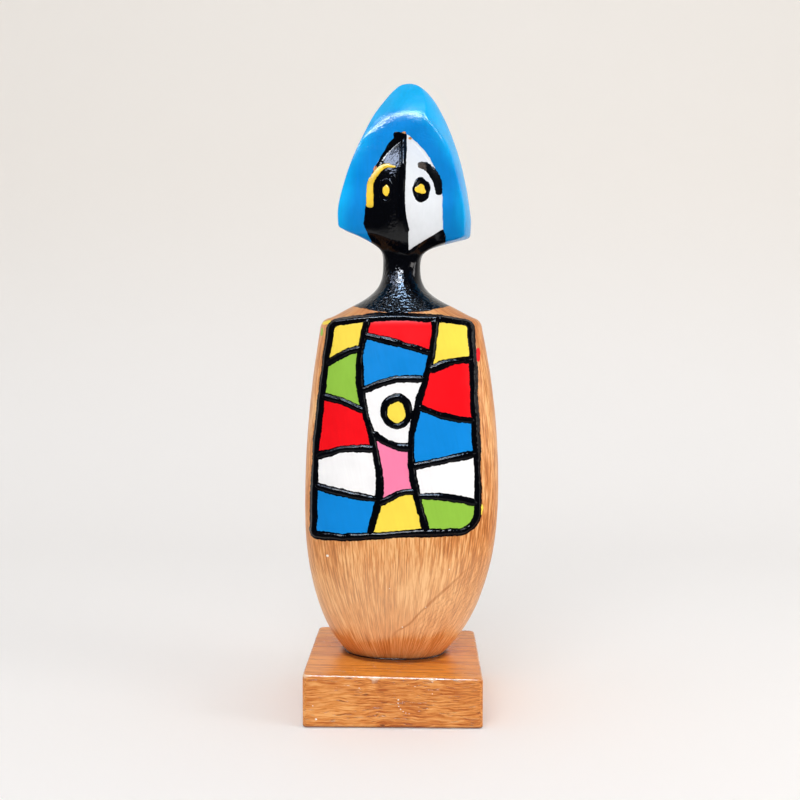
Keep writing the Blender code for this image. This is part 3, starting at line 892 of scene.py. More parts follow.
def paint_fields(point, level, neck_axis):
    """How far in mm a point lies inside the painted part, the blue hood and the white half of the face."""
    x, y, z = (value / MM for value in point)
    from_middle = (x - neck_axis.x / MM) / NECK_PAINT_REACH
    painted = z - (NECK_PAINT_LOW + NECK_PAINT_RISE * from_middle**2)
    if level < NECK_LEVEL:
        return painted, -FAR, -FAR
    to_side = x - neck_axis.x / MM
    to_back = y - neck_axis.y / MM
    hood = FAR
    if to_back < 0:
        hood = -reach((x, z), FACE_OUTLINE)
    if level < RIM_LEVEL:
        hood = min(hood, math.hypot(to_side, to_back) - JAW_PAINT_REACH)
    for (spot_x, spot_z), half_width, half_height in BARE_SPOTS:
        if to_back < 0:
            away = math.hypot((x - spot_x) / half_width, (z - spot_z) / half_height)
            painted = min(painted, (away - 1) * BARE_SPOT_SLOPE)
    white_side = x - line_value(WHITE_EDGE, z)
    white_foot = (z - line_value(WHITE_FOOT, x)) * WHITE_FOOT_SLOPE
    return painted, hood, min(white_side, white_foot)


def carve_figure(sizes):
    """The figure as one closed skin, with the distances to its paint edges stored on its points."""
    bm = bmesh.new()
    level_layer = bm.verts.layers.float.new("level")
    column_layer = bm.verts.layers.float.new("column")
    rows = figure_rows(sizes)
    made = wrapped_grid(bm, [ring for _, ring in rows])
    edges_passed = [index + share for index, share, _ in columns()]
    around = len(edges_passed) + 1
    for index, vert in enumerate(made):
        vert[level_layer] = rows[index // around][0]
        vert[column_layer] = edges_passed[index % around % len(edges_passed)]
    neck = rows[FOOT_ROWS + BODY_ROWS + SHOULDER_ROWS + SLOPE_ROWS + NECK_ROWS][1]
    bmesh.ops.remove_doubles(bm, verts=bm.verts, dist=WELD)
    close_holes(bm)
    free = [vert for vert in bm.verts if vert[level_layer] > 0]
    soften(bm, dict.fromkeys(free, 1.0), EDGE_PASSES)
    for share_at, passes in ((in_jaw, JAW_PASSES), (in_crease, CREASE_PASSES), (in_crown, CROWN_PASSES)):
        shares = {vert: share_at(vert.co, vert[level_layer], vert[column_layer]) for vert in free}
        soften(bm, {vert: share for vert, share in shares.items() if share > 0}, passes)
    bm.normal_update()
    for vert in free:
        vert.co += vert.normal * knife_marks(vert.co, sizes.knife_waviness)
    seat = lean_matrix()
    bmesh.ops.transform(bm, matrix=seat, verts=bm.verts)
    neck_axis = seat @ (sum(neck, Vector()) / len(neck))
    layers = [bm.verts.layers.float.new(name) for name in ("paint_field", "hood_field", "white_field")]
    for vert in bm.verts:
        for layer, value in zip(layers, paint_fields(vert.co, vert[level_layer], neck_axis)):
            vert[layer] = value
    for name in ("level", "column"):
        bm.verts.layers.float.remove(bm.verts.layers.float[name])
    return bm


def in_jaw(point, level, _):
    """How far a point takes part in rounding the place where the face runs into the neck, from 0 to 1."""
    in_front = smooth_share(-point.y, *JAW_FRONT)
    return within(level, *JAW_LEVELS) * in_front * (1 - smooth_share(abs(point.x), *JAW_SIDES))


def in_crease(_, level, column):
    """How far a point takes part in rounding the edge between the visor and the hood's front, from 0 to 1."""
    return within(level, *CREASE_LEVELS) * (1 - smooth_share(column, *CREASE_COLUMNS))


def in_crown(_, level, column):
    """How far a point takes part in evening out the front of the crown, from 0 to 1."""
    return within(level, *CROWN_LEVELS) * (1 - smooth_share(column, *CROWN_COLUMNS))


def close_holes(bm):
    bmesh.ops.holes_fill(bm, edges=[edge for edge in bm.edges if edge.is_boundary], sides=0)


# The plinth


def plinth_outline(inset):
    """Points round the plinth's plan, each with rounded corners, moved in by an inset."""
    half = PLINTH_SIDE / 2 - inset
    points = []
    corners = [
        (1, -1, PLINTH_FRONT_CORNER), (1, 1, PLINTH_BACK_CORNER),
        (-1, 1, PLINTH_BACK_CORNER), (-1, -1, PLINTH_FRONT_CORNER),
    ]
    for index, (side, end, radius) in enumerate(corners):
        radius = max(radius - inset, 0.2 * MM)
        centre = Vector((side * (half - radius), end * (half - radius)))
        start = math.atan2(end, side) - math.pi / 4
        for step in range(PLINTH_CORNER_STEPS + 1):
            turn = start + math.pi / 2 * step / PLINTH_CORNER_STEPS
            points.append(centre + radius * Vector((math.cos(turn), math.sin(turn))))
        side_after, end_after, radius_after = corners[(index + 1) % 4]
        radius_after = max(radius_after - inset, 0.2 * MM)
        goal = Vector((side_after, end_after)) * (half - radius_after)
        goal += Vector((math.cos(turn), math.sin(turn))) * radius_after
        last = points[-1]
        for step in range(1, PLINTH_SIDE_STEPS):
            points.append(last.lerp(goal, step / PLINTH_SIDE_STEPS))
    return points


def plinth_top(x):
    """Height of the plinth's sloping top."""
    return PLINTH_HIGH.z - TOP_FALL * (x / PLINTH_SIDE + 0.5)


def worn(place, seed):
    """How worn an edge of the plinth is at a place, as a share of its usual rounding."""
    spot = Vector((place.x, place.y, seed))
    broad = noise.noise(spot / BROAD_WEAR)
    fine = noise.noise(spot / FINE_WEAR + Vector((3.0, 1.0, 8.0)))
    return 1 + 0.35 * broad + 0.3 * max(0.0, fine) ** 2


def edge_ring(edge, seed, size, inward, off):
    """(place, distance from the flat face) of the points of one ring round a rounded edge of the plinth."""
    ring = []
    for point, inner in zip(plinth_outline(0), plinth_outline(edge)):
        radius = edge * size * worn(point, seed)
        ring.append((point.lerp(inner, radius * inward / edge), radius * off))
    return ring


def plinth_rings(edge):
    """Rings of points from the middle of the underside to that of the top, and the top edge's first index."""
    turns = [math.pi / 2 * step / PLINTH_EDGE_STEPS for step in range(PLINTH_EDGE_STEPS + 1)]
    rings = []
    for turn in turns:
        low = edge_ring(edge, 5.0, PLINTH_FOOT_EDGE, 1 - math.sin(turn), 1 - math.cos(turn))
        rings.append([Vector((place.x, place.y, off)) for place, off in low])
    base = rings[0]
    underside = [[Vector().lerp(point, share) for point in base] for share in PLINTH_FOOT_SHARES]
    rings = underside + rings
    for step in range(1, PLINTH_WALL_STEPS):
        ring = []
        for point in plinth_outline(0):
            high = plinth_top(point.x) - edge * PLINTH_WALL_CLEARANCE
            ring.append(Vector((point.x, point.y, between(edge, high, step / PLINTH_WALL_STEPS))))
        rings.append(ring)
    top_edge = len(rings)
    for turn in turns:
        high = edge_ring(edge, 0.0, 1.0, 1 - math.cos(turn), 1 - math.sin(turn))
        rings.append([Vector((place.x, place.y, plinth_top(place.x) - off)) for place, off in high])
    rim = rings[-1]
    for share in PLINTH_TOP_SHARES:
        rings.append([Vector((p.x * share, p.y * share, plinth_top(p.x * share))) for p in rim])
    return rings, top_edge


def cut_plinth(sizes):
    """The block with worn, rounded edges and the dents in its front edge."""
    rings, top_edge = plinth_rings(sizes.plinth_edge)
    bm = bmesh.new()
    wear_layer = bm.verts.layers.float.new("wear")
    top_layer = bm.verts.layers.float.new("top_side")
    made = wrapped_grid(bm, rings)
    around = len(rings[0]) + 1
    for index, vert in enumerate(made):
        row = index // around - top_edge
        vert[top_layer] = 1.0 if row >= PLINTH_EDGE_STEPS else 0.0
        if 0 < row < PLINTH_EDGE_STEPS:
            vert[wear_layer] = math.sin(math.pi * row / PLINTH_EDGE_STEPS)
    bmesh.ops.remove_doubles(bm, verts=bm.verts, dist=WELD)
    for vert in bm.verts:
        for place, radius, depth in PLINTH_DENTS:
            away = (vert.co - Vector(place) * MM).length
            share = math.exp(-((away / (radius * MM)) ** 2))
            vert[wear_layer] += DENT_WEAR * share
            vert.co += Vector(DENT_WAY) * depth * MM * share
    bmesh.ops.recalc_face_normals(bm, faces=bm.faces)
    return bm


# Paint laid on the figure


class Surface:
    """The front of a piece, found by looking straight back along +Y."""

    def __init__(self, piece):
        mesh = piece.data
        corners = [vert.co.copy() for vert in mesh.vertices]
        self.tree = BVHTree.FromPolygons(corners, [tuple(face.vertices) for face in mesh.polygons])

    def at(self, x, z):
        found = self.tree.ray_cast(Vector((x, LOOK_FROM, z)), Vector((0, 1, 0)))[0]
        if found is None:
            raise RuntimeError(f"There is no wood to paint on at {x:.4f}, {z:.4f}")
        return found

    def facing(self, x, z):
        """The way the surface faces, evened out over a small patch."""
        across = self.at(x + FACING_PATCH, z) - self.at(x - FACING_PATCH, z)
        up = self.at(x, z + FACING_PATCH) - self.at(x, z - FACING_PATCH)
        return across.cross(up).normalized()


def line_profile(across, bead_share):
    """(band, bead) heights, each from 0 to 1, at a place from -1 to 1 across a painted line."""
    band = max(0.0, 1 - abs(across) ** 5) ** 0.5
    bead = max(0.0, 1 - (across / bead_share) ** 2) ** 0.6
    return band, bead


def lay_line(bm, surface, path, widths, band, bead, bead_share=0.52, closed=False, seed=0.0, blunt=1.0):
    """A brushed line with a raised bead along a path of (x, z) points on the front of the figure.

    The widths are even steps from its start to its end, and a blunt of under 1 makes its ends squarer.
    """
    count = len(path)
    spacing = (path[1] - path[0]).length
    rings = []
    for index, point in enumerate(path):
        before = path[index - 1] if closed or index else point
        after = path[(index + 1) % count] if closed or index < count - 1 else point
        run = (after - before).normalized()
        across = Vector((run.y, -run.x))
        ease = 1.0
        share = index / (count - 1)
        half = evenly(widths, share) / 2
        if not closed:
            from_end = min(index, count - 1 - index) * spacing
            ease = math.sqrt(1 - (1 - min(1.0, (from_end + 0.08 * half) / (half * blunt))) ** 2)
        travel = Vector((0.6, 0.37, 0.71)) * (index * spacing / LINE_WANDER) + Vector((seed, 0, 0))
        if closed:
            turn = index / count * 2 * math.pi
            loop = count * spacing / (2 * math.pi) / LINE_WANDER
            travel = Vector((math.cos(turn) * loop, math.sin(turn) * loop, seed))
        lump = 1 + LINE_LUMP * noise.noise(travel) + LINE_SMALL_LUMP * noise.noise(travel * 3.7)
        sway = LINE_SWAY * half * noise.noise(travel * 0.9 + Vector((0, 0, 9.0)))
        half *= 1 + LINE_SWELL * noise.noise(travel * 0.45 + Vector((0, 0, 17.0)))
        facing = surface.facing(point.x, point.y)
        ring = []
        for step in range(LINE_STEPS + 1):
            place = -1 + 2 * step / LINE_STEPS
            edge = travel + Vector((0, 0, 4.0 if place > 0 else -4.0))
            rough = 1 + LINE_EDGE_ROUGHNESS * (0.55 * noise.noise(edge * 1.3) + noise.noise(edge * 6.3))
            spot = point + across * (half * ease * place * rough)
            low, high = line_profile(place - sway / half, bead_share)
            height = (band * low + bead * high * lump) * ease
            ring.append(surface.at(spot.x, spot.y) + facing * height)
        for place in (0.9, 0.0, -0.9):
            spot = point + across * (half * ease * place)
            ring.append(surface.at(spot.x, spot.y) - facing * PAINT_ROOT)
        rings.append(ring)
    if closed:
        rings.append(rings[0])
    made = wrapped_grid(bm, rings)
    bmesh.ops.remove_doubles(bm, verts=made, dist=WELD)


def lay_dab(
    bm, surface, centre, reach_x, reach_z, height, rim=0.0, lobes=0, lobe_size=0.0, turn=0.0, seed=0.0,
):
    """A dab of paint: a low dome with an uneven edge, with a raised rim where one is asked for."""
    rings = []
    centre = Vector(centre)
    facing = surface.facing(*centre)
    for row in range(DAB_ROWS + 1):
        away = row / DAB_ROWS
        ring = []
        for column in range(DAB_COLUMNS):
            angle = 2 * math.pi * column / DAB_COLUMNS
            heading = Vector((math.cos(angle), math.sin(angle)))
            size = 1 + 0.16 * noise.noise(Vector((*(heading * 1.3), seed)))
            size += 0.07 * noise.noise(Vector((*(heading * 4.1), seed + 5)))
            size += lobe_size * math.cos(lobes * (angle - turn))
            spot = centre + Vector((heading.x * reach_x, heading.y * reach_z)) * size * away
            dome = max(0.0, 1 - away**6) ** 0.5
            lift = height * dome * (1 + 0.15 * noise.noise(Vector((spot.x, spot.y, seed)) / (1.5 * MM)))
            lift += rim * math.exp(-(((away - 0.82) / 0.12) ** 2)) * dome
            ring.append(surface.at(*spot) + facing * lift)
        rings.append(ring)
    rings.append([point - facing * PAINT_ROOT for point in rings[-1]])
    made = wrapped_grid(bm, rings)
    bmesh.ops.remove_doubles(bm, verts=made, dist=WELD)


def finish_paint(bm):
    close_holes(bm)
    bmesh.ops.recalc_face_normals(bm, faces=bm.faces)
    return bm


def mm(lengths):
    """Lengths given in mm, as a vector in metres."""
    return Vector(lengths) * MM


def mm_path(points):
    return fair_path([mm(point) for point in points], FACE_LINE_SPACING)


def oval_path(centre, reach_x, reach_z, steps, spacing):
    """A closed path round an oval."""
    points = []
    for step in range(steps):
        turn = 2 * math.pi * step / steps
        points.append(centre + Vector((reach_x * math.cos(turn), reach_z * math.sin(turn))))
    return even_path(points + points[:1], spacing)[:-1]


def eye_ring():
    """The path of the ring round the left eye."""
    reach_x, reach_z = mm(LEFT_EYE_RING)
    return oval_path(mm(LEFT_EYE), reach_x, reach_z, EYE_STEPS, FACE_LINE_SPACING)


# The panel's layout


def panel_place(u, v):
    """(x, z) of a place on the panel: u runs from its left to its right edge, v from its foot to its top."""
    left, right = evenly(PANEL_LEFT, v) * MM, evenly(PANEL_RIGHT, v) * MM
    low, high = evenly(PANEL_BOTTOM, u) * MM, evenly(PANEL_TOP, u) * MM
    width, height = right - left, high - low
    from_side = min(u, 1 - u) * width
    from_end = min(v, 1 - v) * height
    corner = ("bottom" if v < 0.5 else "top") + "_" + ("left" if u < 0.5 else "right")
    radius = PANEL_CORNERS[corner] * MM
    side_share, end_share = 1 - from_side / radius, 1 - from_end / radius
    if side_share > 0 and end_share > 0:
        pull = max(side_share, end_share) / math.hypot(side_share, end_share)
        from_side = radius * (1 - side_share * pull)
        from_end = radius * (1 - end_share * pull)
    x = left + from_side if u < 0.5 else right - from_side
    z = low + from_end if v < 0.5 else high - from_end
    return Vector((x, z))


def sway(index, v):
    """u of one of the two long lines, or of the panel's own edges, at a height."""
    if index < 0:
        return 0.0
    if index >= len(SWAY_LINES):
        return 1.0
    middle, width, turns, start = SWAY_LINES[index]
    return middle + width * math.sin(2 * math.pi * (turns * v + start))


def cross_height(strip, index, share):
    """v of a cross line at a share of its strip's width."""
    height, slope, bow = CROSS_LINES[strip][index]
    return height + slope * (share - 0.5) + bow * math.sin(math.pi * share)


def cell_colour(u, v):
    """Name of the colour at a place on the panel."""
    spot = panel_place(u, v)
    if (spot - panel_place(*DISC_CENTRE)).length < DISC_RADIUS:
        return DISC_COLOUR
    strip = sum(u > sway(index, v) for index in range(len(SWAY_LINES)))
    left, right = sway(strip - 1, v), sway(strip, v)
    share = (u - left) / (right - left)
    cell = sum(v < cross_height(strip, index, share) for index in range(len(CROSS_LINES[strip])))
    return STRIP_COLOURS[strip][cell]


def panel_paths():
    """Every line of the panel as a path of (x, z) points, the outer one first."""
    shares = [step / PATH_STEPS for step in range(PATH_STEPS)]
    outline = [panel_place(share, 0) for share in shares]
    outline += [panel_place(1, share) for share in shares]
    outline += [panel_place(1 - share, 1) for share in shares]
    outline += [panel_place(0, 1 - share) for share in shares]
    paths = [even_path(outline + outline[:1], LINE_SPACING)[:-1]]
    for index in range(len(SWAY_LINES)):
        points = [panel_place(sway(index, share), share) for share in shares + [1.0]]
        paths.append(even_path(points, LINE_SPACING))
    for strip, lines in enumerate(CROSS_LINES):
        for index in range(len(lines)):
            points = []
            for share in shares + [1.0]:
                v = cross_height(strip, index, share)
                points.append(panel_place(between(sway(strip - 1, v), sway(strip, v), share), v))
            paths.append(even_path(points, LINE_SPACING))
    reach_x, reach_z = (DISC_RADIUS * share for share in DISC_SHAPE)
    paths.append(oval_path(panel_place(*DISC_CENTRE), reach_x, reach_z, PATH_STEPS, LINE_SPACING))
    return paths


def paint_panel_skin(surface, sizes, colours):
    """The colours between the lines, as one thin skin with a colour stored on each face corner."""
    bm = bmesh.new()
    made = bmesh.ops.create_grid(bm, x_segments=SKIN_COLUMNS, y_segments=SKIN_ROWS, size=1.0)["verts"]
    shares = {}
    for index, vert in enumerate(made):
        row, column = divmod(index, SKIN_COLUMNS + 1)
        u, v = column / SKIN_COLUMNS, row / SKIN_ROWS
        spot = panel_place(u, v)
        base = surface.at(spot.x, spot.y)
        ripple = 1 + 0.35 * noise.noise(Vector((spot.x, 0, spot.y * 0.5)) / (2.2 * MM))
        vert.co = base + Vector((0, -sizes.skin_height * ripple, 0))
        shares[vert] = (u, v)
    layer = bm.loops.layers.float_color.new("cell_colour")
    for face in bm.faces:
        u = sum(shares[vert][0] for vert in face.verts) / len(face.verts)
        v = sum(shares[vert][1] for vert in face.verts) / len(face.verts)
        colour = getattr(colours, cell_colour(u, v))
        for loop in face.loops:
            loop[layer] = (*colour, 1.0)
    bm.normal_update()
    rim = [edge for edge in bm.edges if edge.is_boundary]
    walls = bmesh.ops.extrude_edge_only(bm, edges=rim)["geom"]
    sunk = [item for item in walls if isinstance(item, bmesh.types.BMVert)]
    bmesh.ops.translate(bm, vec=(0, PAINT_ROOT, 0), verts=sunk)
    return bm


# Nodes


class Output:
    """What a node gives, with Python's own signs making Math nodes of it."""

    def __init__(self, nodes, socket):
        self.nodes = nodes
        self.socket = socket

    def __add__(self, other):
        return self.nodes.maths("ADD", self, other)

    def __radd__(self, other):
        return self.nodes.maths("ADD", other, self)

    def __sub__(self, other):
        return self.nodes.maths("SUBTRACT", self, other)

    def __rsub__(self, other):
        return self.nodes.maths("SUBTRACT", other, self)

    def __mul__(self, other):
        return self.nodes.maths("MULTIPLY", self, other)

    def __truediv__(self, other):
        return self.nodes.maths("DIVIDE", self, other)

    def __abs__(self):
        return self.nodes.maths("ABSOLUTE", self)


class Nodes:
    """A node tree, with short ways to add nodes to it."""

    def __init__(self, tree):
        self.tree = tree

    def feed(self, socket, value):
        """Links another node's output to a socket, or sets the socket to a plain value."""
        if isinstance(value, Output):
            self.tree.links.new(value.socket, socket)
        else:
            socket.default_value = value

    def put(self, kind, inputs, settings):
        made = self.tree.nodes.new("ShaderNode" + kind)
        for name, value in settings.items():
            setattr(made, name, value)
        for name, value in (inputs or {}).items():
            self.feed(made.inputs[name], value)
        return made

    def value(self, kind, inputs=None, output=0, **settings):
        """One output of a new shader node."""
        return Output(self, self.put(kind, inputs, settings).outputs[output])

    def group(self, make, inputs):
        """The named outputs of a node group, which is built when it is first used."""
        tree = bpy.data.node_groups.get(make.__name__) or make()
        made = self.put("Group", inputs, {"node_tree": tree})
        return {socket.name: Output(self, socket) for socket in made.outputs}

    def attribute(self, name, output="Fac"):
        return self.value("Attribute", output=output, attribute_name=name)

    def axes(self, place):
        """The x, y and z of a place."""
        return [Output(self, socket) for socket in self.put("SeparateXYZ", {0: place}, {}).outputs]

    def joined(self, x, y, z):
        return self.value("CombineXYZ", {0: x, 1: y, 2: z})

    def maths(self, operation, first, second=0.0, clamp=False):
        return self.value("Math", {0: first, 1: second}, operation=operation, use_clamp=clamp)

    def mixed(self, share, first, second, blend_type="MIX"):
        """A colour between two others."""
        return self.value("Mix", {0: share, 6: first, 7: second}, 2, data_type="RGBA", blend_type=blend_type)

    def mixed_value(self, share, first, second):
        return self.value("Mix", {0: share, 2: first, 3: second}, data_type="FLOAT")

    def laid_over(self, colour, layers):
        """A colour with others laid over it in turn, each with its own share."""
        for share, tone in layers:
            colour = self.mixed(share, colour, solid(tint(*tone)))
        return colour

    def rising(self, value, low, high, least=0.0, most=1.0):
        """A value that eases from least at low to most at high."""
        inputs = {"Value": value, "From Min": low, "From Max": high, "To Min": least, "To Max": most}
        return self.value("MapRange", inputs, "Result", interpolation_type="SMOOTHSTEP")

    def grainy(self, place, scale, detail=2.0, roughness=0.5, distortion=0.0):
        inputs = {"Vector": place, "Scale": scale, "Detail": detail}
        return self.value("TexNoise", {**inputs, "Roughness": roughness, "Distortion": distortion})

    def stretched(self, place, scale=(1, 1, 1), turn=(0, 0, 0), shift=(0, 0, 0)):
        return self.value("Mapping", {"Vector": place, "Location": shift, "Rotation": turn, "Scale": scale})


def solid(colour):
    return (*colour, 1.0)


def new_group(name, inputs, outputs):
    """An empty node group. Its inputs are given as (name, kind, default) and its outputs as (name, kind)."""
    tree = bpy.data.node_groups.new(name, "ShaderNodeTree")
    for label, kind, default in inputs:
        socket = tree.interface.new_socket(name=label, in_out="INPUT", socket_type="NodeSocket" + kind)
        if default is not None:
            socket.default_value = default
    for label, kind in outputs:
        tree.interface.new_socket(name=label, in_out="OUTPUT", socket_type="NodeSocket" + kind)
    nodes = Nodes(tree)
    given = {socket.name: Output(nodes, socket) for socket in tree.nodes.new("NodeGroupInput").outputs}
    result = tree.nodes.new("NodeGroupOutput").inputs
    return nodes, given, result


def wood_grain():
    """Group: wood with its grain along Z, in three colours, with rings, streaks and pores."""
    nodes, given, result = new_group(
        "wood_grain",
        [
            ("Vector", "Vector", None),
            ("Light", "Color", solid(tint(236, 182, 126))),
            ("Mid", "Color", solid(tint(219, 151, 92))),
            ("Dark", "Color", solid(tint(184, 110, 54))),
            ("Rings", "Float", 0.3),
            ("Streaks", "Float", 0.5),
            ("Pores", "Float", 0.5),
            ("Patches", "Float", 0.4),
        ],
        [("Color", "Color"), ("Roughness", "Float"), ("Height", "Float")],
    )
    place = given["Vector"]
    fine = nodes.grainy(nodes.stretched(place, (1, 1, 0.062)), 1350.0, 3.0, 0.62, 0.25)
    middle = nodes.grainy(nodes.stretched(place, (1, 1, 0.085), shift=(0.3, 0.1, 0)), 360.0, 3.0, 0.6, 0.5)
    patch = nodes.grainy(nodes.stretched(place, (1, 1, 0.45)), 34.0, 3.0, 0.5, 0.6)
    dashes = nodes.grainy(nodes.stretched(place, (1, 1, 0.085)), 1500.0, 1.0)
    heart = nodes.stretched(place, (1, 1, 0.10), (math.radians(3), math.radians(-4), 0), (0.034, -0.03, 0))
    rings = nodes.value(
        "TexWave",
        {"Vector": heart, "Scale": 58.0, "Distortion": 5.0, "Detail": 3.0, "Detail Scale": 0.9}, 1,
        wave_type="RINGS", rings_direction="Z", wave_profile="SIN",
    )
    shade = 0.5 + (fine - 0.5) * (given["Streaks"] * FINE_GRAIN)
    shade += (middle - 0.5) * (given["Streaks"] * MIDDLE_GRAIN)
    shade += (rings - 0.5) * given["Rings"]
    shade = nodes.maths("ADD", shade, (patch - 0.5) * (given["Patches"] * PATCH_GRAIN), clamp=True)
    to_mid = nodes.maths("MULTIPLY", shade, 2.0, clamp=True)
    to_light = nodes.maths("SUBTRACT", shade * 2.0, 1.0, clamp=True)
    colour = nodes.mixed(to_light, nodes.mixed(to_mid, given["Dark"], given["Mid"]), given["Light"])
    pores = nodes.rising(dashes, 0.64, 0.74) * given["Pores"]
    pore_colour = nodes.mixed(1.0, given["Dark"], solid(PORE_DARKENING), "MULTIPLY")
    nodes.feed(result["Color"], nodes.mixed(pores, colour, pore_colour))
    nodes.feed(result["Roughness"], nodes.rising(patch, 0.2, 0.8, 0.42, 0.30))
    nodes.feed(result["Height"], middle * 0.6 - pores + fine * 0.3)
    return nodes.tree


def brush_strokes():
    """Group: a coat of brushed paint, with its strokes along Z."""
    nodes, given, result = new_group(
        "brush_strokes",
        [
            ("Vector", "Vector", None),
            ("Paint", "Color", solid((0.5, 0.5, 0.5))),
            ("Unevenness", "Float", 0.12),
            ("Gloss", "Float", 0.7),
        ],
        [("Color", "Color"), ("Roughness", "Float"), ("Height", "Float")],
    )
    place = given["Vector"]
    stroke = nodes.grainy(nodes.stretched(place, (1, 1, 0.07)), 620.0, 2.0, 0.55, 0.3)
    cloud = nodes.grainy(place, 75.0, 3.0, 0.55)
    speck = nodes.rising(nodes.grainy(place, 1300.0, 1.0), 0.74, 0.80)
    level = 1.0 + (stroke * 0.6 + cloud * 0.9 - 0.75) * given["Unevenness"] * 2.4
    shade = nodes.value("CombineColor", {0: level, 1: level, 2: level})
    nodes.feed(result["Color"], nodes.mixed(1.0, given["Paint"], shade, "MULTIPLY"))
    nodes.feed(result["Roughness"], 1.0 - given["Gloss"] + (cloud - 0.5) * 0.25)
    nodes.feed(result["Height"], stroke + cloud * 1.2 + speck * 0.8)
    return nodes.tree


def ragged_edge():
    """Group: a hand-painted edge, from a distance in mm that is above zero inside the paint."""
    nodes, given, result = new_group(
        "ragged_edge",
        [("Distance", "Float", 0.0), ("Vector", "Vector", None), ("Wobble", "Float", 0.5)],
        [("Mask", "Float")],
    )
    slow = nodes.grainy(given["Vector"], 210.0, 2.0) - 0.5
    fast = (nodes.grainy(given["Vector"], 900.0, 2.0) - 0.5) * 0.5
    shift = (slow + fast) * (given["Wobble"] * 3.0)
    nodes.feed(result["Mask"], nodes.rising(given["Distance"] + shift, -0.12, 0.12))
    return nodes.tree


# Materials


def fresh_material(name, sheen=SHEEN):
    """A new material with its nodes, its shader's inputs and its Object coordinates."""
    material = bpy.data.materials.new(name)
    material.use_nodes = True
    nodes = Nodes(material.node_tree)
    shader = material.node_tree.nodes["Principled BSDF"].inputs
    shader["Specular IOR Level"].default_value = sheen
    return material, nodes, shader, nodes.value("TexCoord", output="Object")


def dress(nodes, shader, colour, roughness, height, depth):
    """Feeds a finish to its shader, with its height as bumps of a given depth."""
    nodes.feed(shader["Base Color"], colour)
    nodes.feed(shader["Roughness"], roughness)
    nodes.feed(shader["Normal"], nodes.value("Bump", {"Strength": 1.0, "Distance": depth, "Height": height}))


def grained(nodes, place, colours, part, rings, streaks, pores, patches):
    """The outputs of the wood grain in the three colours of the body or the plinth."""
    inputs = {"Vector": place, "Rings": rings, "Streaks": streaks, "Pores": pores, "Patches": patches}
    for shade in ("light", "mid", "dark"):
        inputs[shade.capitalize()] = solid(getattr(colours, f"{part}_{shade}"))
    return nodes.group(wood_grain, inputs)


def coated(nodes, place, paint, unevenness, gloss):
    """(colour, roughness, height) of a brushed coat of paint."""
    inputs = {"Vector": place, "Paint": paint, "Unevenness": unevenness, "Gloss": gloss}
    return tuple(nodes.group(brush_strokes, inputs).values())


def body_wood(nodes, place, colours):
    """(colour, roughness, height) of the bare body, paler low down and with swirls under a growth line."""
    x, y, z = nodes.axes(place)
    outwards = nodes.value("VectorMath", {0: nodes.joined(x, y, 0.0)}, operation="NORMALIZE")
    out_x, out_y, _ = nodes.axes(outwards)
    round_body = nodes.joined(out_x * GRAIN_RADIUS, out_y * GRAIN_RADIUS, z)
    grain = grained(nodes, round_body, colours, "wood", rings=0.08, streaks=1.1, pores=0.3, patches=0.42)
    wander = (nodes.grainy(place, 45.0, 2.0) - 0.5) * 0.02
    level = z + wander
    swirl_place = nodes.stretched(place, turn=(0, SWIRL_TURN, 0))
    swirls = nodes.value(
        "TexWave",
        {"Vector": swirl_place, "Scale": 150.0, "Distortion": 8.0, "Detail": 3.0, "Detail Scale": 1.8}, 1,
        wave_type="BANDS", bands_direction="X",
    )
    in_front = nodes.rising(y, *BODY_FRONT)
    slant = (x - z) * SLANT_SHARE + wander * 0.35
    under_line = nodes.rising(slant, *SWIRLS_UNDER) * nodes.rising(abs(x), *SWIRLS_ASIDE) * in_front
    growth_line = nodes.rising(abs(slant - GROWTH_LINE), *GROWTH_LINE_EDGE)
    growth_line *= nodes.rising(x, *GROWTH_LINE_START)
    low_and_front = nodes.rising(z, *GROWTH_LINE_TOP) * in_front
    wood = nodes.laid_over(grain["Color"], (
        (nodes.rising(level, *PALE_ZONE_TOP) * nodes.rising(level, *PALE_ZONE_FOOT) * 0.36, (252, 210, 164)),
        (nodes.rising(level, *DARK_FOOT) * 0.42, (214, 128, 62)),
        (nodes.rising(swirls, 0.5, 0.95) * under_line * 0.24, (176, 98, 48)),
        (growth_line * 0.5 * low_and_front, (176, 98, 48)),
    ))
    return wood, grain["Roughness"], grain["Height"] * 0.35


def thick_paint(nodes, x, y, z):
    """How thickly the black paint was laid, where its bumps show most."""
    thick = nodes.rising(z, *NECK_FOOT) * nodes.rising(y, *NECK_FRONT)
    upper_neck = nodes.rising(abs(z - UPPER_NECK), *UPPER_NECK_REACH)
    upper_neck *= nodes.rising(abs(x), *UPPER_NECK_SIDES)
    beside_nose = nodes.rising(abs(x - NOSE_SIDE), *NOSE_SIDE_REACH)
    beside_nose *= nodes.rising(abs(z - NOSE_MIDDLE), *NOSE_MIDDLE_REACH)
    high_face = nodes.rising(z, *HIGH_FACE) * HIGH_FACE_SHARE
    for part in (beside_nose, high_face, upper_neck):
        thick = nodes.maths("MAXIMUM", thick, part)
    return thick + THIN_SHARE


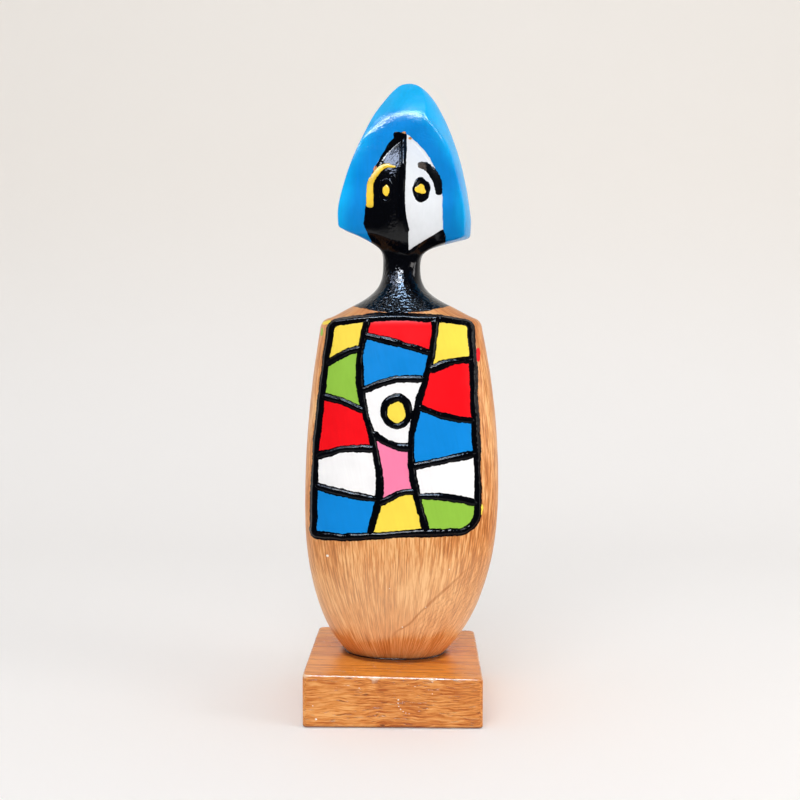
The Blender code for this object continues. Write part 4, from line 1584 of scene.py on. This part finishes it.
def head_paint(nodes, place, colours, white, hood):
    """(colour, roughness, height) of the black paint, with the white cheek and the blue hood over it."""
    x, y, z = nodes.axes(place)
    coats = {
        name: coated(nodes, place, solid(getattr(colours, name)), unevenness, gloss)
        for name, unevenness, gloss in (
            ("black", 0.3, 0.91), ("white", 0.05, 0.62), ("blue", 0.13, 0.78), ("pale_blue", 0.13, 0.78),
        )
    }
    cloud = (nodes.grainy(place, 40.0, 3.0) - 0.5) * 14.0
    # Painted light: the hood's outer parts are painted a paler blue, as if lit more strongly
    outer = nodes.rising(nodes.attribute("hood_field") + cloud, *PAINTED_LIGHT_HOOD)
    blue = nodes.mixed(outer, coats["blue"][0], coats["pale_blue"][0])
    # Painted shade: the blue is made deeper towards the hood's lower rim
    blue = nodes.laid_over(blue, [(nodes.rising(z, *HOOD_PAINTED_SHADE) * 0.55, (2, 114, 172))])
    colour, rough, height = coats["black"]
    for mask, over, (_, over_rough, over_height) in (
        (white, coats["white"][0], coats["white"]), (hood, blue, coats["blue"]),
    ):
        colour = nodes.mixed(mask, colour, over)
        rough = nodes.mixed_value(mask, rough, over_rough)
        height = nodes.mixed_value(mask, height, over_height + 0.6)
    peel = nodes.grainy(place, 620.0, 1.0, 0.5) * (thick_paint(nodes, x, y, z) * PEEL_HEIGHT)
    height += peel * (1.0 - nodes.maths("ADD", hood, white, clamp=True))
    on_arch = nodes.rising(abs(z - ARCH_HEIGHT), *ARCH_REACH) * hood * 3.2
    height += nodes.grainy(place, 760.0, 2.0, 0.6) * on_arch
    return colour, rough, height * 0.5 + 1.0


def figure_material(colours):
    """Varnished wood with a black neck, a blue hood and a face half black and half white."""
    material, nodes, shader, place = fresh_material("carved_and_painted_wood", FIGURE_SHEEN)
    masks = []
    for name, wobble in (("paint_field", 0.55), ("hood_field", 0.35), ("white_field", 0.3)):
        inputs = {"Distance": nodes.attribute(name), "Vector": place, "Wobble": wobble}
        masks.append(nodes.group(ragged_edge, inputs)["Mask"])
    painted, hood, white = masks
    wood = body_wood(nodes, place, colours)
    paint = head_paint(nodes, place, colours, white, hood)
    colour = nodes.mixed(painted, wood[0], paint[0])
    roughness = nodes.mixed_value(painted, wood[1], paint[1])
    dress(nodes, shader, colour, roughness, nodes.mixed_value(painted, wood[2], paint[2]), 0.16 * MM)
    return material


def plinth_material(colours):
    """Orange stained wood with its grain along X, darker in its pores and paler where it is worn, with
    painted light making its top brighter, a painted contact shadow round the figure's foot and painted shade
    along its bottom edge.
    """
    material, nodes, shader, place = fresh_material("stained_wood")
    x, y, z = nodes.axes(place)
    sway = (nodes.grainy(nodes.stretched(place, (0.45, 1, 1)), 115.0, 2.0) - 0.5) * 0.0045
    waved = nodes.joined(x, y, z + sway)
    lying = nodes.stretched(waved, (1.25, 1, 1), turn=(0, math.radians(90), 0))
    grain = grained(nodes, lying, colours, "plinth", rings=0.12, streaks=0.95, pores=0.7, patches=0.45)
    top_side = nodes.attribute("top_side")
    threads = nodes.rising(nodes.grainy(nodes.stretched(waved, (0.03, 1, 1)), 420.0, 3.0, 0.65), 0.47, 0.66)
    mottle = nodes.rising(nodes.grainy(nodes.stretched(place, (0.5, 1, 1)), 95.0, 3.0, 0.6), 0.42, 0.66)
    away_x = x / FOOT_HALF_WIDTH
    away_y = y / (FOOT_HALF_WIDTH * FOOT_DEPTH_SHARE)
    from_foot = nodes.maths("SQRT", away_x * away_x + away_y * away_y)
    worn_through = (nodes.grainy(place, 330.0, 3.0, 0.6) - 0.5) * 1.5
    wood = nodes.laid_over(grain["Color"], (
        # Painted light: the top is made a brighter orange, as if lit from above
        (top_side * 0.7, (255, 168, 60)),
        (threads * top_side * 0.6, (168, 78, 26)),
        (mottle * 0.24, (196, 104, 42)),
        # Glue stain and painted contact shadow: the top is darkened in a ring round the figure's foot
        (nodes.rising(from_foot, *GLUE_STAIN_AND_SHADE) * top_side * 0.72, (96, 40, 22)),
        # Painted shade: darker along the bottom edge, where the plinth meets the floor
        (nodes.rising(z, *BOTTOM_EDGE_SHADE) * 0.65, (84, 50, 34)),
        (nodes.rising(nodes.attribute("wear") + worn_through, 0.72, 1.25) * 0.75, (246, 214, 182)),
    ))
    dress(nodes, shader, wood, grain["Roughness"] * 0.72, grain["Height"], 0.18 * MM)
    return material


def paint_material(name, colour, unevenness, gloss, stroke_turn=(0, 0, 0), depth=STROKE_DEPTH, sheen=SHEEN):
    """A coat of one paint, or of the colours stored on the mesh where none is given."""
    material, nodes, shader, place = fresh_material(name, sheen)
    paint = nodes.attribute("cell_colour", "Color") if colour is None else solid(colour)
    turned = nodes.stretched(place, turn=stroke_turn)
    dress(nodes, shader, *coated(nodes, turned, paint, unevenness, gloss), depth)
    return material


def brow_material(colours):
    """Thin black paint, brown and see-through where its stroke starts."""
    material, nodes, shader, place = fresh_material("thin_black_paint")
    across = nodes.axes(place)[0] + (nodes.grainy(place, 420.0, 3.0) - 0.5) * 0.010
    paint = nodes.laid_over(solid(colours.black), [(nodes.rising(across, *BROW_WORN), (94, 84, 78))])
    dress(nodes, shader, *coated(nodes, place, paint, 0.5, 0.84), STROKE_DEPTH)
    return material


def black_material(colours):
    found = bpy.data.materials.get("thick_black_paint")
    return found or paint_material(
        "thick_black_paint", colours.black, 0.3, 0.94, depth=0.22 * MM, sheen=LINE_SHEEN,
    )


# Operators


def settings():
    scene = bpy.context.scene
    return scene.figure_sizes, scene.figure_colours, scene.figure_studio


def carved_surface():
    piece = bpy.data.objects.get("carved_figure")
    if piece is None:
        raise RuntimeError("Carve the figure first")
    return Surface(piece)


class CarveFigure(bpy.types.Operator):
    """Carve the figure in one piece and paint its neck, hood and face"""

    bl_idname = "painted_figure.carve"
    bl_label = "Carve Figure"

    def execute(self, context):
        sizes, colours, _ = settings()
        piece = add_piece("carved_figure", carve_figure(sizes), [figure_material(colours)])
        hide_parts("figure")
        return {"FINISHED"}


class CutPlinth(bpy.types.Operator):
    """Cut the plinth with worn edges"""

    bl_idname = "painted_figure.plinth"
    bl_label = "Cut Plinth"

    def execute(self, context):
        sizes, colours, _ = settings()
        piece = add_piece("plinth_block", cut_plinth(sizes), [plinth_material(colours)])
        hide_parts("plinth")
        return {"FINISHED"}


class LayGlue(bpy.types.Operator):
    """Lay the dark line of glue round the figure's foot"""

    bl_idname = "painted_figure.glue"
    bl_label = "Lay Glue"

    def execute(self, context):
        sizes, _, _ = settings()
        seat = lean_matrix()
        angles = [2 * math.pi * step / GLUE_STEPS for step in range(GLUE_STEPS)]
        foot = body_ring(sizes, 0.0, FOOT_HALF_WIDTH, angles)
        rings = []
        for point in foot:
            out = Vector((point.x, point.y, 0)).normalized()
            lump = 1 + 0.5 * noise.noise(point / GLUE_LUMP) + 0.3 * noise.noise(point / GLUE_SMALL_LUMP)
            ring = []
            for step in range(GLUE_ROUND):
                turn = 2 * math.pi * step / GLUE_ROUND
                away = GLUE_WIDTH * lump * math.cos(turn)
                ring.append(seat @ (point + out * away + Vector((0, 0, GLUE_HEIGHT * lump * math.sin(turn)))))
            rings.append(ring)
        bm = bmesh.new()
        wrapped_grid(bm, rings + rings[:1])
        bmesh.ops.remove_doubles(bm, verts=bm.verts, dist=WELD)
        bmesh.ops.recalc_face_normals(bm, faces=bm.faces)
        glue = paint_material("dark_glue", tint(58, 28, 16), 0.6, 0.75, depth=0.15 * MM)
        add_piece("glue_line", bm, [glue])
        return {"FINISHED"}


class PaintPanel(bpy.types.Operator):
    """Paint the coloured cells on the front of the body"""

    bl_idname = "painted_figure.panel"
    bl_label = "Paint Panel"

    def execute(self, context):
        sizes, colours, _ = settings()
        bm = paint_panel_skin(carved_surface(), sizes, colours)
        paint = paint_material("panel_paints", None, 0.07, 0.60, (0, math.radians(12), 0), sheen=PANEL_SHEEN)
        add_piece("panel_colours", bm, [paint])
        return {"FINISHED"}


class DrawPanelLines(bpy.types.Operator):
    """Draw the raised black lines between the panel's colours"""

    bl_idname = "painted_figure.panel_lines"
    bl_label = "Draw Panel Lines"

    def execute(self, context):
        sizes, colours, _ = settings()
        surface = carved_surface()
        bm = bmesh.new()
        paths = panel_paths()
        for index, path in enumerate(paths):
            closed = index in (0, len(paths) - 1)
            lay_line(
                bm, surface, path, [sizes.line_width] * 2, LINE_BAND, sizes.line_height, closed=closed,
                seed=index * 3.7,
            )
        add_piece("panel_lines", finish_paint(bm), [black_material(colours)])
        return {"FINISHED"}


class PaintFace(bpy.types.Operator):
    """Paint the brows, the eyes and the line down the face"""

    bl_idname = "painted_figure.face"
    bl_label = "Paint Face"

    def execute(self, context):
        _, colours, _ = settings()
        surface = carved_surface()
        black = bmesh.new()
        widths = mm(NOSE_LINE_WIDTHS)
        lay_line(black, surface, mm_path(NOSE_LINE), widths, 0.15 * MM, 0.45 * MM, 0.6, seed=1.5)
        widths = mm(NOSE_SECOND_WIDTHS)
        lay_line(black, surface, mm_path(NOSE_SECOND_LINE), widths, 0.05 * MM, 0.25 * MM, 0.9, seed=4.5)
        widths = mm(EYE_RING_WIDTHS)
        lay_line(black, surface, eye_ring(), widths, 0.05 * MM, 0.35 * MM, 0.9, closed=True, seed=8.5)
        size = mm(RIGHT_EYE_REACH)
        lay_dab(black, surface, mm(RIGHT_EYE), *size, 0.35 * MM, rim=0.3 * MM, lobes=2, seed=2.0)
        size = mm(TOP_BLOTCH_REACH)
        lay_dab(black, surface, mm(TOP_BLOTCH), *size, 0.3 * MM, lobes=3, lobe_size=0.15, seed=6.0)
        add_piece("face_lines", finish_paint(black), [black_material(colours)])
        brow = bmesh.new()
        widths = mm(RIGHT_BROW_WIDTHS)
        lay_line(brow, surface, mm_path(RIGHT_BROW), widths, 0.18 * MM, 0.1 * MM, 0.8, seed=3.0, blunt=0.8)
        add_piece("right_brow", finish_paint(brow), [brow_material(colours)])
        yellow = bmesh.new()
        widths = mm(LEFT_BROW_WIDTHS)
        lay_line(yellow, surface, mm_path(LEFT_BROW), widths, 0.25 * MM, 0.35 * MM, 0.8, seed=5.0, blunt=0.6)
        lay_dab(yellow, surface, mm(LEFT_EYE), *mm(LEFT_EYE_REACH), 0.5 * MM, seed=3.0)
        lay_dab(
            yellow, surface, mm(RIGHT_DAB), *mm(RIGHT_DAB_REACH), 0.75 * MM, lobes=3, lobe_size=0.2,
            turn=math.radians(75), seed=7.0,
        )
        paint = paint_material("yellow_paint", colours.deep_yellow, 0.35, 0.7)
        add_piece("yellow_strokes", finish_paint(yellow), [paint])
        return {"FINISHED"}


class SpillPaint(bpy.types.Operator):
    """Leave the smears of colour outside the panel and the tiny pale specks"""

    bl_idname = "painted_figure.spills"
    bl_label = "Spill Paint"

    def execute(self, context):
        _, colours, _ = settings()
        surface = carved_surface()
        bm = bmesh.new()
        layer = bm.loops.layers.float_color.new("cell_colour")
        for index, (colour, place, reach_x, reach_z, turn) in enumerate(SPILLS):
            before = set(bm.faces)
            lay_dab(
                bm, surface, mm(place), reach_x * MM, reach_z * MM, 0.12 * MM, lobes=2, lobe_size=0.25,
                turn=math.radians(turn), seed=30.0 + index,
            )
            for face in set(bm.faces) - before:
                for loop in face.loops:
                    loop[layer] = (*getattr(colours, colour), 1.0)
        paint = bpy.data.materials.get("panel_paints")
        add_piece("paint_spills", finish_paint(bm), [paint])
        specks = bmesh.new()
        front = Surface(bpy.data.objects["plinth_block"])
        for places, on in ((BODY_SPECKS, surface), (PLINTH_SPECKS, front)):
            for index, (x, z, size) in enumerate(places):
                lay_dab(specks, on, mm((x, z)), size * MM, size * MM * 0.9, 0.1 * MM, seed=50.0 + index)
        pale = paint_material("pale_specks", tint(246, 238, 226), 0.1, 0.5)
        add_piece("pale_specks", finish_paint(specks), [pale])
        return {"FINISHED"}


def hang_backdrop(scene, studio):
    """One sheet of paper that is the floor and bends up into the wall behind."""
    bend = BACKDROP_BEND * math.pi / 2
    bm = bmesh.new()
    made = bmesh.ops.create_grid(bm, x_segments=BACKDROP_COLUMNS, y_segments=BACKDROP_ROWS, size=1.0)["verts"]
    for index, vert in enumerate(made):
        row, column = divmod(index, BACKDROP_COLUMNS + 1)
        away = between(-BACKDROP_FRONT, BACKDROP_FLAT + bend + BACKDROP_WALL, row / BACKDROP_ROWS)
        across = between(-BACKDROP_SIDE, BACKDROP_SIDE, column / BACKDROP_COLUMNS)
        turn = min(max((away - BACKDROP_FLAT) / BACKDROP_BEND, 0.0), math.pi / 2)
        y = min(away, BACKDROP_FLAT) + BACKDROP_BEND * math.sin(turn)
        z = BACKDROP_BEND * (1 - math.cos(turn)) + max(0.0, away - BACKDROP_FLAT - bend)
        vert.co = (across, y, z - FLOOR_GAP)
    mesh = bpy.data.meshes.new("studio_sweep")
    bm.to_mesh(mesh)
    bm.free()
    mesh.shade_smooth()
    material, nodes, shader, place = fresh_material("studio_paper")
    up_wall = nodes.rising(nodes.axes(place)[2], *WALL_TINT)
    nodes.feed(shader["Base Color"], nodes.mixed(up_wall, solid(studio.backdrop), solid(studio.wall)))
    shader["Roughness"].default_value = 0.9
    mesh.materials.append(material)
    sweep = bpy.data.objects.new("studio_sweep", mesh)
    scene.collection.objects.link(sweep)
    sweep.visible_glossy = False


def hang_lights(scene, studio):
    for name, (place, size, colour) in {**LIGHTS, **REFLECTIONS}.items():
        lamp = bpy.data.lights.new(name, "AREA")
        lamp.shape = "RECTANGLE"
        lamp.size, lamp.size_y = size
        lamp.energy = getattr(studio, name)
        lamp.color = tint(*colour)
        made = bpy.data.objects.new(name, lamp)
        made.location = place
        made.rotation_euler = (Vector(LIGHT_AIM) - Vector(place)).to_track_quat("-Z", "Y").to_euler()
        made.visible_diffuse = name in LIGHTS
        made.visible_glossy = name != "front_light"
        scene.collection.objects.link(made)


def light_room(scene, studio):
    """Even light all round, with a room that only gloss sees: dim in front, bright behind and below."""
    world = bpy.data.worlds.new("room")
    world.use_nodes = True
    nodes = Nodes(world.node_tree)
    background = world.node_tree.nodes["Background"].inputs
    background["Color"].default_value = solid(tint(*ROOM_COLOUR))
    _, back, up = nodes.axes(nodes.value("TexCoord", output="Generated"))
    mirrored = nodes.rising(back, *ROOM_TURNS, studio.room_front, studio.room_behind)
    mirrored = nodes.mixed_value(nodes.rising(up * -1.0, *ROOM_FLOOR), mirrored, studio.room_below)
    glossy = nodes.value("LightPath", output="Is Glossy Ray")
    nodes.feed(background["Strength"], nodes.mixed_value(glossy, studio.surround, mirrored))
    scene.world = world


def set_camera(scene):
    eye = bpy.data.cameras.new("camera")
    eye.lens = CAMERA_LENS
    eye.sensor_width = CAMERA_SENSOR
    camera = bpy.data.objects.new("camera", eye)
    camera.location = CAMERA_PLACE
    camera.rotation_euler = (math.pi / 2 - CAMERA_DOWN, 0, CAMERA_TURN)
    scene.collection.objects.link(camera)
    scene.camera = camera


class SetStage(bpy.types.Operator):
    """Set the floor, the lights and the camera"""

    bl_idname = "painted_figure.stage"
    bl_label = "Set Stage"

    def execute(self, context):
        _, _, studio = settings()
        hang_backdrop(context.scene, studio)
        hang_lights(context.scene, studio)
        light_room(context.scene, studio)
        set_camera(context.scene)
        context.scene.view_settings.view_transform = "Standard"
        return {"FINISHED"}


class FigurePanel(bpy.types.Panel):
    """The figure's steps, in order"""

    bl_idname = "VIEW3D_PT_painted_figure"
    bl_label = "Painted Figure"
    bl_space_type = "VIEW_3D"
    bl_region_type = "UI"
    bl_category = "Figure"

    def draw(self, context):
        for step in STEPS:
            self.layout.operator(step.bl_idname)
        for group in settings():
            box = self.layout.box()
            for name in group.bl_rna.properties.keys():
                if name not in ("rna_type", "name"):
                    box.prop(group, name)


STEPS = (CarveFigure, CutPlinth, LayGlue, PaintPanel, DrawPanelLines, PaintFace, SpillPaint, SetStage)
GROUPS = {"figure_sizes": FigureSizes, "figure_colours": FigureColours, "figure_studio": StudioSettings}


def register():
    for made in (*GROUPS.values(), *STEPS, FigurePanel):
        bpy.utils.register_class(made)
    for name, group in GROUPS.items():
        setattr(bpy.types.Scene, name, PointerProperty(type=group))


def unregister():
    for name in GROUPS:
        delattr(bpy.types.Scene, name)
    for made in (FigurePanel, *reversed(STEPS), *reversed(list(GROUPS.values()))):
        bpy.utils.unregister_class(made)


def main():
    register()
    bpy.ops.painted_figure.carve()
    bpy.ops.painted_figure.plinth()
    bpy.ops.painted_figure.glue()
    bpy.ops.painted_figure.panel()
    bpy.ops.painted_figure.panel_lines()
    bpy.ops.painted_figure.face()
    bpy.ops.painted_figure.spills()
    bpy.ops.painted_figure.stage()


if __name__ == "__main__":
    main()
